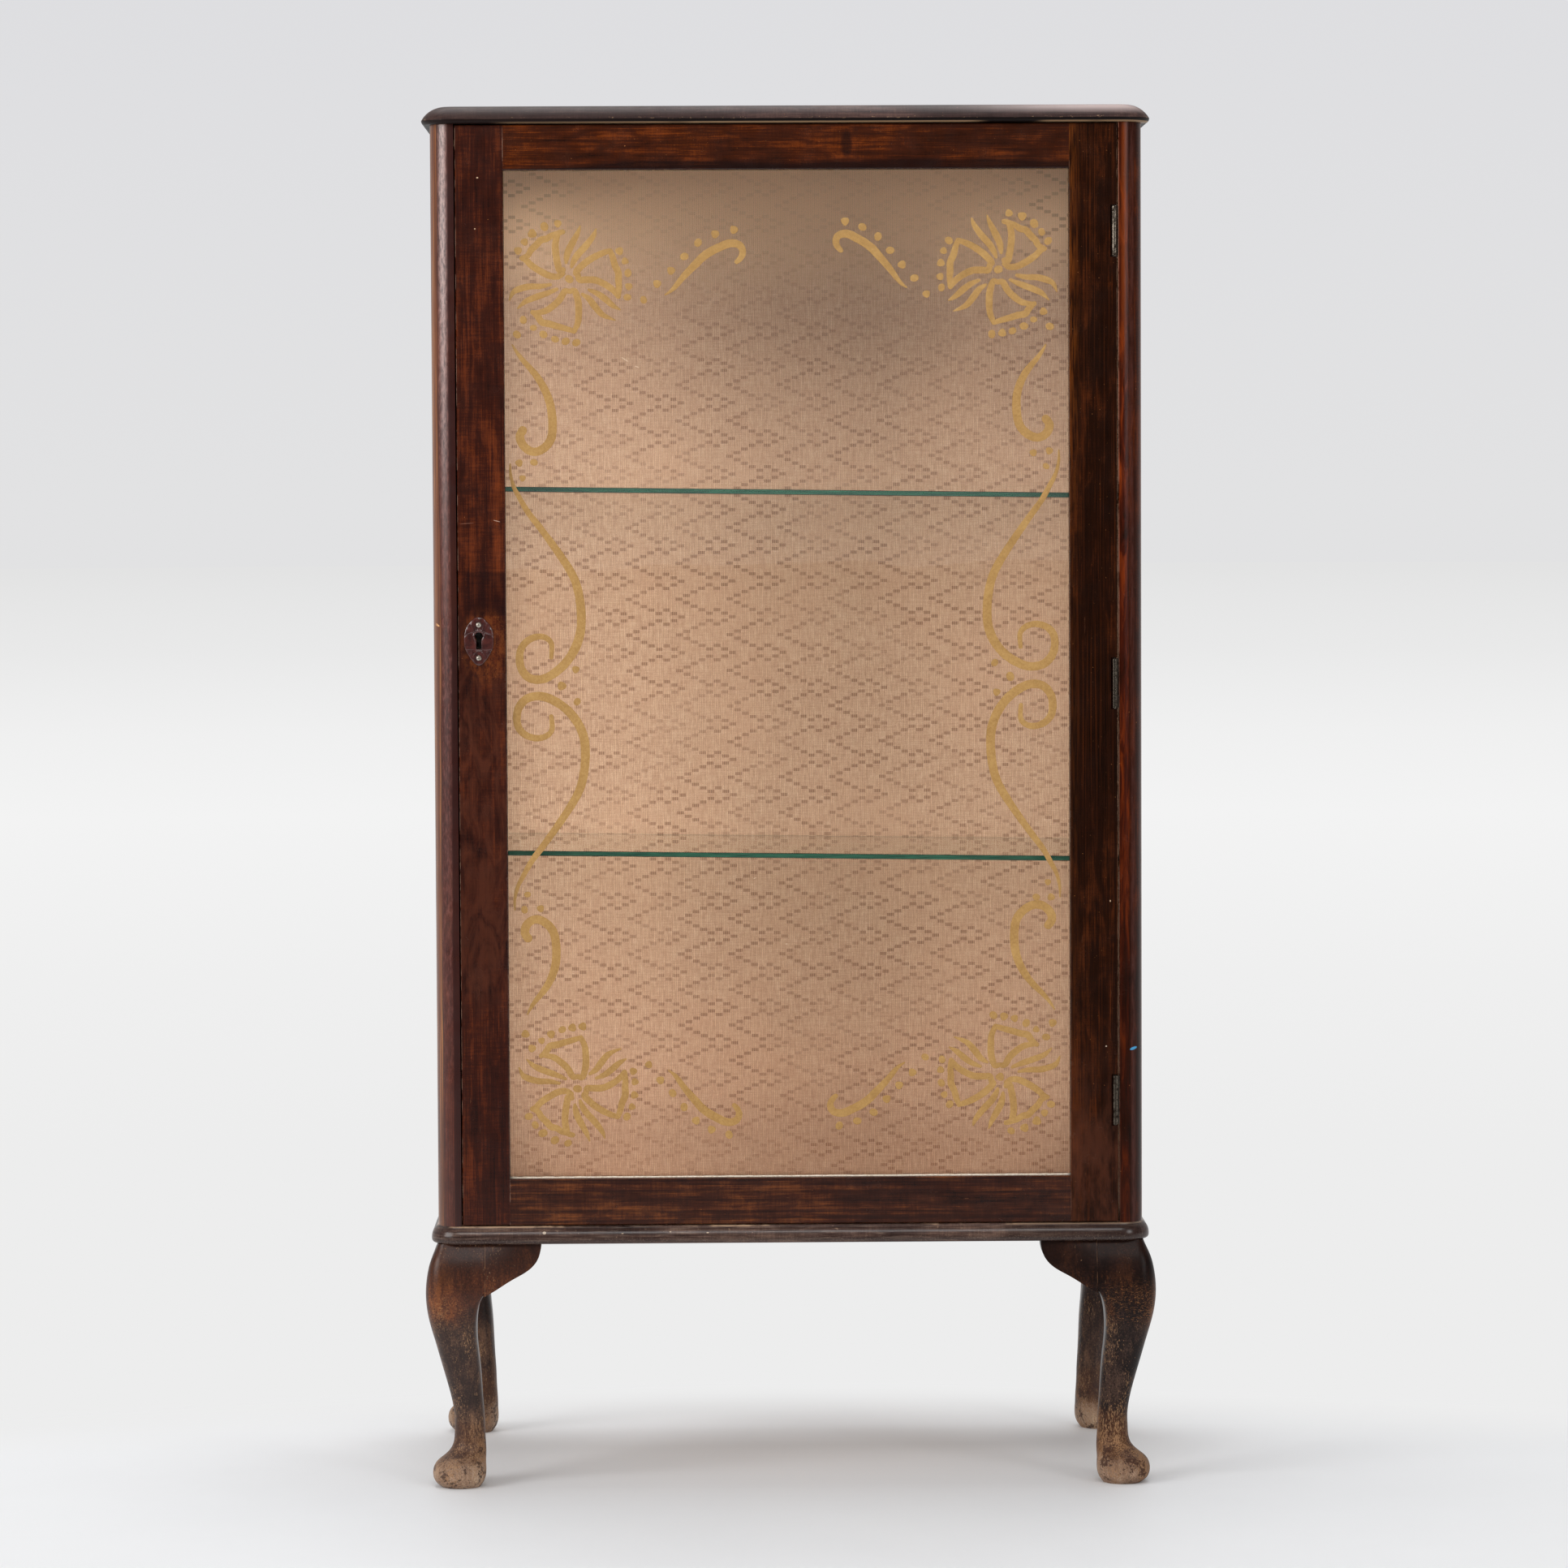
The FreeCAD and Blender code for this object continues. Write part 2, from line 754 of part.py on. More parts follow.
def make_back_nails():
    """Flat-headed nails through the back panel into the posts and the top panel."""
    nails = []
    places = []
    span = case_h - 2 * side_top_rail_h
    for i in range(nail_count):
        z = case_z + side_top_rail_h + span * i / (nail_count - 1)
        for side in (-1, 1):
            places.append((side * (inner_x + nail_edge), z))
    reach = inner_x - top_nail_inset
    for i in range(nail_count):
        places.append((-reach + 2 * reach * i / (nail_count - 1), top_z - top_panel_t / 2))
    y = back_y - back_recess
    for x, z in places:
        head = cylinder(nail_head_r, nail_head_t, (x, y + nail_head_t, z), (0, -1, 0))
        shank = cylinder(nail_r, nail_l, (x, y, z), (0, -1, 0))
        nails.append(joined([head, shank]))
    return nails


def make_carcass(parts):
    parts["top_board"] = make_top_board()
    parts["case_top_panel"] = make_case_top_panel()
    parts["base_board"] = make_base_board()
    parts["base_front_moulding"] = make_base_front_moulding()
    left = make_base_left_moulding()
    parts["base_left_moulding"] = left
    parts["base_right_moulding"] = mirror_x(left)
    parts["back_panel"] = make_back_panel()
    parts["back_lining"] = make_back_lining()
    parts["floor_lining"] = make_floor_lining()
    parts["door_stop"] = make_door_stop()
    screws = make_top_screws()
    for screw in screws:
        for name in ("top_board", "case_top_panel"):
            parts[name] = parts[name].cut(screw)
    parts["top_screws"] = group(screws)
    nails = make_back_nails()
    for nail in nails:
        for name in ("back_panel", "case_top_panel", "left_back_post", "right_back_post"):
            parts[name] = parts[name].cut(nail)
    parts["back_nails"] = group(nails)


# Shelves


def shelf_slope():
    return shelf_drop / (2 * inner_x)


def make_shelf(middle_z):
    """Glass plate that lies a little lower on the right, as its pins do."""
    half = inner_x - shelf_side_gap
    plate = box((-half, shelf_front_y, -shelf_t / 2), (half, shelf_back_y, shelf_t / 2))
    long_front = [e for e in plate.Edges
                  if all(abs(v.Point.y - shelf_front_y) < shelf_arris for v in e.Vertexes)
                  and abs(e.Vertexes[0].Point.x - e.Vertexes[-1].Point.x) > half]
    plate = plate.makeChamfer(shelf_arris, long_front)
    plate.rotate(FreeCAD.Vector(0, 0, 0), FreeCAD.Vector(0, 1, 0), math.degrees(math.atan(shelf_slope())))
    plate.translate(FreeCAD.Vector(0, 0, middle_z))
    return plate


def make_shelf_pins(middle_z):
    """Four studs in the posts; each one's top is just under the plate's lowest point over it."""
    pins = []
    front = shelf_front_y + shelf_pin_front_inset
    back = shelf_back_y - shelf_pin_back_inset
    lean = math.atan(shelf_slope())
    for side in (-1, 1):
        lowest_x = -inner_x + shelf_pin_out if side < 0 else inner_x - shelf_side_gap
        underside = middle_z - lowest_x * shelf_slope() - shelf_t / 2 / math.cos(lean)
        z = underside - shelf_seat_gap - shelf_pin_r
        for y in (front, back):
            tail = (side * (inner_x + shelf_pin_in), y, z)
            stud = cylinder(shelf_pin_r, shelf_pin_in + shelf_pin_out, tail, (-side, 0, 0))
            pins.append(stud)
    return pins


def make_shelves(parts):
    for name, middle_z in (("upper", upper_shelf_z), ("lower", lower_shelf_z)):
        parts[name + "_shelf"] = make_shelf(middle_z)
        pins = make_shelf_pins(middle_z)
        for pin in pins:
            for post in ("left_front_post", "left_back_post", "right_front_post", "right_back_post"):
                parts[post] = parts[post].cut(pin)
        parts[name + "_shelf_pins"] = group(pins)


# Door


def door_rebate():
    """Space for the door's glass and beads, cut from the back."""
    return box((-sight_half_w - rebate_w, door_back_y - rebate_d, sight_low_z - rebate_w),
               (sight_half_w + rebate_w, door_back_y, sight_high_z + rebate_w))


def door_tenon(side, low_z, high_z):
    """Tongue of a door rail into a stile, set between the rebate and the front face."""
    y = front_y + door_t - rebate_d
    return box((side * sight_half_w, y - door_tenon_t, low_z + tenon_shoulder),
               (side * (sight_half_w + door_tenon_l), y, high_z - tenon_shoulder))


def door_rail_spans():
    return {"bottom": (door_low_z, sight_low_z), "top": (sight_high_z, door_high_z)}


def door_envelope():
    return front_beveled_block(door_half_w, door_low_z, door_high_z, front_y, door_back_y, door_edge_break)


def sight_cutter():
    return chamfered_opening(sight_half_w, sight_low_z, sight_high_z, sight_chamfer, front_y)


def make_door_rail(low_z, high_z):
    rail = box((-sight_half_w, front_y, low_z), (sight_half_w, door_back_y, high_z))
    rail = rail.common(door_envelope())
    rail = rail.cut(sight_cutter())
    rail = rail.cut(door_rebate())
    return joined([rail, door_tenon(-1, low_z, high_z), door_tenon(1, low_z, high_z)])


def make_door_stile(side):
    stile = box((side * sight_half_w, front_y, door_low_z), (side * door_half_w, door_back_y, door_high_z))
    stile = stile.common(door_envelope())
    stile = stile.cut(sight_cutter())
    stile = stile.cut(door_rebate())
    for low_z, high_z in door_rail_spans().values():
        stile = stile.cut(door_tenon(side, low_z, high_z))
    return stile


def make_door_glass():
    g = rebate_w - glass_edge_gap
    y = door_back_y - rebate_d
    return box((-sight_half_w - g, y, sight_low_z - g), (sight_half_w + g, y + glass_t, sight_high_z + g))


def make_door_beads():
    y = door_back_y - bead_t
    upright = bead(sight_high_z - sight_low_z + 2 * rebate_w, rebate_w, bead_t, bead_round)
    lying = bead(2 * sight_half_w, rebate_w, bead_t, bead_round)
    inward = (0, 1, 0)
    low = sight_low_z - rebate_w
    high = sight_high_z + rebate_w
    return group([
        laid(upright, inward, (1, 0, 0), (0, 0, 1), (-sight_half_w - rebate_w, y, low)),
        laid(upright, inward, (-1, 0, 0), (0, 0, 1), (sight_half_w + rebate_w, y, low)),
        laid(lying, inward, (0, 0, 1), (1, 0, 0), (-sight_half_w, y, low)),
        laid(lying, inward, (0, 0, -1), (1, 0, 0), (-sight_half_w, y, high)),
    ])


# Keyhole, its plate and the lock


def keyhole(grow, y_from, y_to):
    """Round head and slot of the keyhole, grown all round, between two Y planes."""
    depth = y_to - y_from
    head = cylinder(keyhole_r + grow, depth, (keyhole_x, y_from, keyhole_z), (0, 1, 0))
    half = keyhole_slot_w / 2 + grow
    slot = box((keyhole_x - half, y_from, keyhole_z - keyhole_slot_l - grow),
               (keyhole_x + half, y_to, keyhole_z))
    return joined([head, slot])


def plate_outline(inset, y):
    """Outline of the keyhole plate, drawn in all round: bowed sides, and a pointed end above and below."""
    half = plate_w / 2 - inset
    tall = plate_h / 2 - inset

    def at(across, up):
        return FreeCAD.Vector(keyhole_x + across * half, y, plate_z + up * tall)

    shoulder_x, shoulder_up = plate_shoulder_shares
    tip_x, tip_up = plate_tip_shares
    edges = []
    for side in (1, -1):
        shoulder = at(side * shoulder_x, side * shoulder_up)
        tip_start = at(side * tip_x, side * tip_up)
        tip_end = at(-side * tip_x, side * tip_up)
        far_shoulder = at(-side * shoulder_x, side * shoulder_up)
        next_shoulder = at(-side * shoulder_x, -side * shoulder_up)
        edges.append(Part.makeLine(shoulder, tip_start))
        edges.append(Part.Arc(tip_start, at(0, side), tip_end).toShape())
        edges.append(Part.makeLine(tip_end, far_shoulder))
        edges.append(Part.Arc(far_shoulder, at(-side, 0), next_shoulder).toShape())
    return Part.Wire(edges)


def domed_pin(start, radius, head_radius, head_height, length):
    """Pin along +Y whose domed head stands in front of start: one section turned about its axis."""
    x, y, z = start
    top = FreeCAD.Vector(x, y - head_height, z)
    rim = FreeCAD.Vector(x + head_radius, y, z)
    half_way = FreeCAD.Vector(x + head_radius * pin_dome_share, y - head_height * pin_dome_share, z)
    points = [rim, FreeCAD.Vector(x + radius, y, z), FreeCAD.Vector(x + radius, y + length, z),
              FreeCAD.Vector(x, y + length, z), top]
    edges = [Part.Arc(top, half_way, rim).toShape()]
    for a, b in zip(points, points[1:]):
        edges.append(Part.makeLine(a, b))
    return Part.Face(Part.Wire(edges)).revolve(FreeCAD.Vector(*start), FreeCAD.Vector(0, 1, 0), 360)


def make_plate_pins():
    pins = []
    for side in (-1, 1):
        z = plate_z + side * plate_pin_pitch / 2
        pins.append(domed_pin((keyhole_x, front_y - plate_t, z), plate_pin_r, plate_pin_head_r,
                              plate_pin_head_h, plate_pin_l))
    return pins


def make_keyhole_plate(pins):
    """Moulded plate: a thin edge, a bevelled face, a raised middle and a rim round the keyhole."""
    edge_y = front_y - plate_edge_t
    face_y = front_y - plate_t
    boss_y = face_y - plate_boss_t
    edge = Part.Face(plate_outline(0, edge_y)).extrude(FreeCAD.Vector(0, plate_edge_t, 0))
    raised = Part.makeLoft([plate_outline(0, edge_y), plate_outline(plate_bevel, face_y)], True, True)
    boss = Part.Face(plate_outline(plate_boss_inset, boss_y)).extrude(FreeCAD.Vector(0, plate_boss_t, 0))
    boss = boss.common(box((keyhole_x - plate_w, boss_y, plate_z - plate_boss_h / 2),
                           (keyhole_x + plate_w, face_y, plate_z + plate_boss_h / 2)))
    rim = keyhole(plate_rim_w, boss_y - plate_rim_t, face_y)
    plate = joined([edge, raised, boss, rim])
    plate = plate.cut(keyhole(0, boss_y - plate_rim_t, front_y))
    for pin in pins:
        plate = plate.cut(pin)
    return plate


def lock_body_box():
    return ((-door_half_w, door_back_y - lock_t, lock_z - lock_h / 2),
            (-door_half_w + lock_w, door_back_y - lock_wall, lock_z + lock_h / 2))


def edge_plate_box():
    half = lock_h / 2 + lock_edge_plate_lap
    return ((-door_half_w, door_back_y - lock_edge_plate_w, lock_z - half),
            (-door_half_w + lock_edge_plate_t, door_back_y - lock_wall, lock_z + half))


def cover_box():
    half = lock_h / 2 + lock_flange
    return ((-door_half_w, door_back_y - lock_wall, lock_z - half),
            (-door_half_w + lock_w, door_back_y, lock_z + half))


def bolt_space(grow):
    """The bolt's section, grown all round, through the lock's edge."""
    reach_y = bolt_t / 2 + grow
    reach_z = bolt_h / 2 + grow
    return box((-door_half_w - bolt_throw, lock_mid_y - reach_y, bolt_z - reach_z),
               (-door_half_w + 2 * lock_edge_plate_t, lock_mid_y + reach_y, bolt_z + reach_z))


def make_lock_case():
    low, high = lock_body_box()
    case = joined([box(low, high), box(*edge_plate_box())])
    inside_low = (low[0] + lock_edge_plate_t, low[1] + lock_wall, low[2] + lock_wall)
    inside_high = (high[0] - lock_wall, high[1], high[2] - lock_wall)
    case = case.cut(box(inside_low, inside_high))
    case = case.cut(bolt_space(bolt_clear))
    return case.cut(keyhole(0, low[1], low[1] + lock_wall))


def make_lock_bolt():
    """Bolt, drawn back inside the door, with the notch that the key turns in."""
    start = -door_half_w + bolt_set_back
    bolt = box((start, lock_mid_y - bolt_t / 2, bolt_z - bolt_h / 2),
               (start + bolt_l, lock_mid_y + bolt_t / 2, bolt_z + bolt_h / 2))
    notch = box((keyhole_x - bolt_notch_w / 2, lock_mid_y - bolt_t, bolt_z - bolt_h / 2),
                (keyhole_x + bolt_notch_w / 2, lock_mid_y + bolt_t, bolt_z - bolt_h / 2 + bolt_notch_h))
    return bolt.cut(notch)


def make_lock_screws():
    screws = []
    for side in (-1, 1):
        z = lock_z + side * (lock_h + lock_flange) / 2
        screws.append(wood_screw((-door_half_w + lock_w / 2, door_back_y, z), (0, -1, 0), lock_screw_l,
                                 lock_screw_r, lock_screw_head_r, lock_screw_head_h))
    return screws


def strike_plate_box():
    return ((-inner_x - strike_t, lock_mid_y - strike_w / 2, bolt_z - strike_h / 2),
            (-inner_x, lock_mid_y + strike_w / 2, bolt_z + strike_h / 2))


def make_strike(parts):
    """Plate let into the left post, with a pocket behind it for the bolt."""
    post = parts["left_front_post"]
    plate = box(*strike_plate_box())
    grow = strike_pocket_clear
    depth = bolt_throw - door_side_gap + strike_t
    pocket = box((-inner_x - depth, lock_mid_y - bolt_t / 2 - grow, bolt_z - bolt_h / 2 - grow),
                 (-inner_x, lock_mid_y + bolt_t / 2 + grow, bolt_z + bolt_h / 2 + grow))
    post = post.cut(plate).cut(pocket)
    plate = plate.cut(pocket)
    screws = []
    for side in (-1, 1):
        z = bolt_z + side * strike_screw_pitch / 2
        screws.append(wood_screw((-inner_x, lock_mid_y, z), (-1, 0, 0), strike_screw_l,
                                 lock_screw_r, lock_screw_head_r, lock_screw_head_h))
    for screw in screws:
        post = post.cut(screw)
        plate = plate.cut(screw)
    parts["left_front_post"] = post
    parts["strike_plate"] = plate
    parts["strike_screws"] = group(screws)


def make_lock(parts):
    stile = parts["door_left_stile"]
    pins = make_plate_pins()
    screws = make_lock_screws()
    cover = box(*cover_box())
    for screw in screws:
        cover = cover.cut(screw)
    for shape in [box(*lock_body_box()), box(*edge_plate_box()), box(*cover_box()), bolt_space(bolt_clear),
                  keyhole(0, front_y, door_back_y - lock_t)] + pins + screws:
        stile = stile.cut(shape)
    parts["door_left_stile"] = stile
    parts["keyhole_plate"] = make_keyhole_plate(pins)
    parts["keyhole_plate_pins"] = group(pins)
    parts["lock_case"] = make_lock_case()
    parts["lock_cover"] = cover
    parts["lock_screws"] = group(screws)
    parts["lock_bolt"] = make_lock_bolt()


# Hinges


def knuckle_spans(z):
    """Height spans of the lower, middle and upper knuckle of a hinge at z."""
    low = z - hinge_h / 2
    high = z + hinge_h / 2
    gap = hinge_knuckle_gap
    return [(low, low + hinge_end_knuckle),
            (low + hinge_end_knuckle + gap, high - hinge_end_knuckle - gap),
            (high - hinge_end_knuckle, high)]


def barrel(span, radius):
    return cylinder(radius, span[1] - span[0], (hinge_x, hinge_y, span[0]), (0, 0, 1))


def plate_start_y():
    return hinge_y + hinge_barrel_r + hinge_plate_clear


def make_case_leaf(z):
    """Leaf on the post: its web passes behind the barrel, so the knuckles stand over the door's edge."""
    spans = knuckle_spans(z)
    y0 = plate_start_y()
    face_x = inner_x - hinge_leaf_t
    pieces = [box((face_x, y0, spans[0][0]), (inner_x, y0 + hinge_leaf_w, spans[2][1]))]
    web_y = hinge_y + hinge_barrel_r - hinge_leaf_t
    for span in (spans[0], spans[2]):
        pieces.append(barrel(span, hinge_barrel_r))
        pieces.append(box((hinge_x, web_y, span[0]), (inner_x, hinge_y + hinge_barrel_r, span[1])))
        pieces.append(box((face_x, web_y, span[0]), (inner_x, y0, span[1])))
    leaf = joined(pieces)
    for span in (spans[0], spans[2]):
        leaf = leaf.cut(barrel(span, hinge_pin_r))
    return leaf


def make_door_leaf(z):
    spans = knuckle_spans(z)
    y0 = plate_start_y()
    face_x = door_half_w - hinge_leaf_t
    plate = box((face_x, y0, spans[0][0]), (door_half_w, y0 + hinge_leaf_w, spans[2][1]))
    web = box((face_x, hinge_y, spans[1][0]), (door_half_w, y0, spans[1][1]))
    leaf = joined([plate, web, barrel(spans[1], hinge_barrel_r)])
    return leaf.cut(barrel(spans[1], hinge_pin_r + hinge_pin_clear))


def make_hinge_pin(z):
    low = z - hinge_h / 2
    pin = cylinder(hinge_pin_r, hinge_h, (hinge_x, hinge_y, low), (0, 0, 1))
    heads = []
    for end_z, up in ((low + hinge_h, 1), (low, -1)):
        heads.append(cone(hinge_pin_head_r, hinge_pin_r, hinge_pin_head_h,
                          (hinge_x, hinge_y, end_z), (0, 0, up)))
    return joined([pin] + heads)


def hinge_screws(z, x, direction):
    y = plate_start_y() + hinge_leaf_w / 2
    screws = []
    for side in (-1, 1):
        start = (x, y, z + side * hinge_screw_pitch / 2)
        screws.append(wood_screw(start, (direction, 0, 0), hinge_screw_l, hinge_screw_r,
                                 hinge_screw_head_r, hinge_screw_head_h))
    return screws


def hinge_recess(z):
    """Room in the stile's edge for the knuckles and the post leaf's web."""
    reach = hinge_h + 2 * (hinge_pin_head_h + hinge_end_clear)
    radius = hinge_barrel_r + hinge_wood_clear
    return cylinder(radius, reach, (hinge_x, hinge_y, z - reach / 2), (0, 0, 1))


def leaf_pocket(z):
    y0 = plate_start_y()
    return box((door_half_w - hinge_leaf_t, y0, z - hinge_h / 2),
               (door_half_w, y0 + hinge_leaf_w, z + hinge_h / 2))


def make_hinges(parts):
    stile = parts["door_right_stile"]
    post = parts["right_front_post"]
    pins = []
    post_screws = []
    door_screws = []
    for name, z in (("top", hinge_top_z), ("middle", hinge_middle_z), ("bottom", hinge_bottom_z)):
        case_leaf = make_case_leaf(z)
        door_leaf = make_door_leaf(z)
        into_post = hinge_screws(z, inner_x - hinge_leaf_t, 1)
        into_door = hinge_screws(z, door_half_w, -1)
        stile = stile.cut(hinge_recess(z)).cut(leaf_pocket(z))
        for screw in into_post:
            case_leaf = case_leaf.cut(screw)
            post = post.cut(screw)
        for screw in into_door:
            door_leaf = door_leaf.cut(screw)
            stile = stile.cut(screw)
        parts["hinge_" + name + "_post_leaf"] = case_leaf
        parts["hinge_" + name + "_door_leaf"] = door_leaf
        pins.append(make_hinge_pin(z))
        post_screws += into_post
        door_screws += into_door
    parts["door_right_stile"] = stile
    parts["right_front_post"] = post
    parts["hinge_pins"] = group(pins)
    parts["hinge_post_screws"] = group(post_screws)
    parts["hinge_door_screws"] = group(door_screws)


def make_door(parts):
    parts["door_left_stile"] = make_door_stile(-1)
    parts["door_right_stile"] = make_door_stile(1)
    for place, (low_z, high_z) in door_rail_spans().items():
        parts["door_" + place + "_rail"] = make_door_rail(low_z, high_z)
    parts["door_glass"] = make_door_glass()
    parts["door_beads"] = make_door_beads()


def build():
    parts = {}
    make_sides(parts)
    make_carcass(parts)
    make_shelves(parts)
    make_legs(parts)
    make_door(parts)
    make_lock(parts)
    make_strike(parts)
    make_hinges(parts)
    return parts


os.makedirs("parts", exist_ok=True)
for node, shape in build().items():
    shape.exportStep("parts/" + node + ".step")
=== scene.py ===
import random
from math import atan2, cos, exp, hypot, log10, pi, radians, sin, sqrt

import bpy
from mathutils import Euler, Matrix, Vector


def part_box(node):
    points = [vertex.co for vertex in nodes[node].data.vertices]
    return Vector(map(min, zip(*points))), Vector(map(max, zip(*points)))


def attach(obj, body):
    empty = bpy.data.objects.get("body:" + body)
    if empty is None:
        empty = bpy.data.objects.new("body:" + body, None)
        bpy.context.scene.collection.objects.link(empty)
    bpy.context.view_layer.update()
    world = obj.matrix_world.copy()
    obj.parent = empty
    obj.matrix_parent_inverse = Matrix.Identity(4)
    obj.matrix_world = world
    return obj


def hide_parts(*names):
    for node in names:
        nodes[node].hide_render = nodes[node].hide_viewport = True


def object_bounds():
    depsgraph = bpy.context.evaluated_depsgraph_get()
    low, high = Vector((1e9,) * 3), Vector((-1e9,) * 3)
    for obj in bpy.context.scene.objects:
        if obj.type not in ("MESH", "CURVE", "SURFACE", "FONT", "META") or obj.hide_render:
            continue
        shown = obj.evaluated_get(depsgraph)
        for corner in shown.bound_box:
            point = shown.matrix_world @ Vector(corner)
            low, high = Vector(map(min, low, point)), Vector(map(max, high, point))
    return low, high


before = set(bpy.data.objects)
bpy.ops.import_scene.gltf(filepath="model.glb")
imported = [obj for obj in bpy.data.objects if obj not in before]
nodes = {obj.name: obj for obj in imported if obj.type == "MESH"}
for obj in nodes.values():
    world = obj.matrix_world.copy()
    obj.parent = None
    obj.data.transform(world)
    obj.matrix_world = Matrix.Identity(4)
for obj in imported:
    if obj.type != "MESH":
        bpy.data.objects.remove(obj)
cad_low, cad_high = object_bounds()

# Every length is in metres unless its name says otherwise, and every colour is 0 to 255 as on
# the screen.
mm = 0.001

# The photograph: its size, and the camera that took it.
photo_size = 1932
focal_length_px = 6583.4
sensor_width = 36.0
camera_place = Vector((-73.6 * mm, -4860.0 * mm, 872.5 * mm))
camera_turn = Euler([radians(degrees) for degrees in (90 - 3.021, 0.2705, -0.8585)], "XYZ")

# The pieces that the looks and the made pieces are placed by.
glass_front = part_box("door_glass")[0].y
sight_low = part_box("door_bottom_rail")[1].z
top_rail_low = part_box("door_top_rail")[0].z
stile_low, stile_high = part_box("door_left_stile")
board_low, board_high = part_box("top_board")
base_low, base_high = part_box("base_front_moulding")
leg_low, leg_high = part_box("leg_front_left")
lining_low, lining_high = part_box("back_lining")
floor_lining_low, floor_lining_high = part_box("floor_lining")

pale_edge_w = 0.5 * mm
mark_depth = 12 * mm
mark_w_mm = 0.5
board_arris_rise = 4.0 * mm
shelf_glass_t = 4.5 * mm
glass_ior = 1.5
tone_places = (0, 0.5, 1)

# The lining's pattern: the step from dash to dash, how many steps it repeats after, and the
# pixel where one zigzag has its apex.
pattern_step_x, pattern_step_z = 7.1 * mm, 3.34 * mm
pattern_period_x, pattern_period_z = 6.68, 10.0
pattern_apex_px = (962.6, 913.1)
rib_pitch = pattern_step_x / 4


def srgb(red, green, blue):
    """The linear colour that the shaders take."""
    shares = [level / 255 for level in (red, green, blue)]
    linear = [share / 12.92 if share <= 0.04045 else ((share + 0.055) / 1.055) ** 2.4 for share in shares]
    return (*linear, 1.0)


def photo_point(px, py, plane_y):
    """The point of the plane y = plane_y that the photograph shows at pixel px, py."""
    across, down = [(pixel - photo_size / 2) / focal_length_px for pixel in (px, py)]
    ray = camera_turn.to_matrix() @ Vector((across, -down, -1.0))
    return camera_place + ray * ((plane_y - camera_place.y) / ray.y)


def triple(value):
    return value if isinstance(value, tuple) else (value, value, value)


def operator_of(operation, swapped=False):
    def apply(self, other):
        return self.shader.calc(operation, *((other, self) if swapped else (self, other)))
    return apply


class Value:
    """A number that varies over a surface: one output of a shader node, with arithmetic."""

    def __init__(self, shader, socket):
        self.shader, self.socket = shader, socket

    __add__, __radd__ = operator_of("ADD"), operator_of("ADD", True)
    __sub__, __rsub__ = operator_of("SUBTRACT"), operator_of("SUBTRACT", True)
    __mul__, __truediv__ = operator_of("MULTIPLY"), operator_of("DIVIDE")

    def __abs__(self):
        return self.shader.calc("ABSOLUTE", self)

    def step(self, low, high):
        """0 at low and 1 at high, with a soft step between, whichever of them is greater."""
        limits = {"Value": self, "From Min": min(low, high), "From Max": max(low, high)}
        node = self.shader.add("ShaderNodeMapRange", limits, interpolation_type="SMOOTHSTEP")
        rising = Value(self.shader, node.outputs[0])
        return rising if low < high else 1.0 - rising

    def window(self, low, high, soft):
        """1 between low and high, and 0 outside, with soft edges."""
        return self.step(low - soft, low + soft) * self.step(high + soft, high - soft)

    def step_mm(self, base, low, high):
        """step, with its places in mm from base."""
        return self.step(base + low * mm, base + high * mm)

    def window_mm(self, base, low, high, soft):
        return self.window(base + low * mm, base + high * mm, soft * mm)

    def swing(self, size):
        """A noise as a change up or down, size from end to end."""
        return (self - 0.5) * size


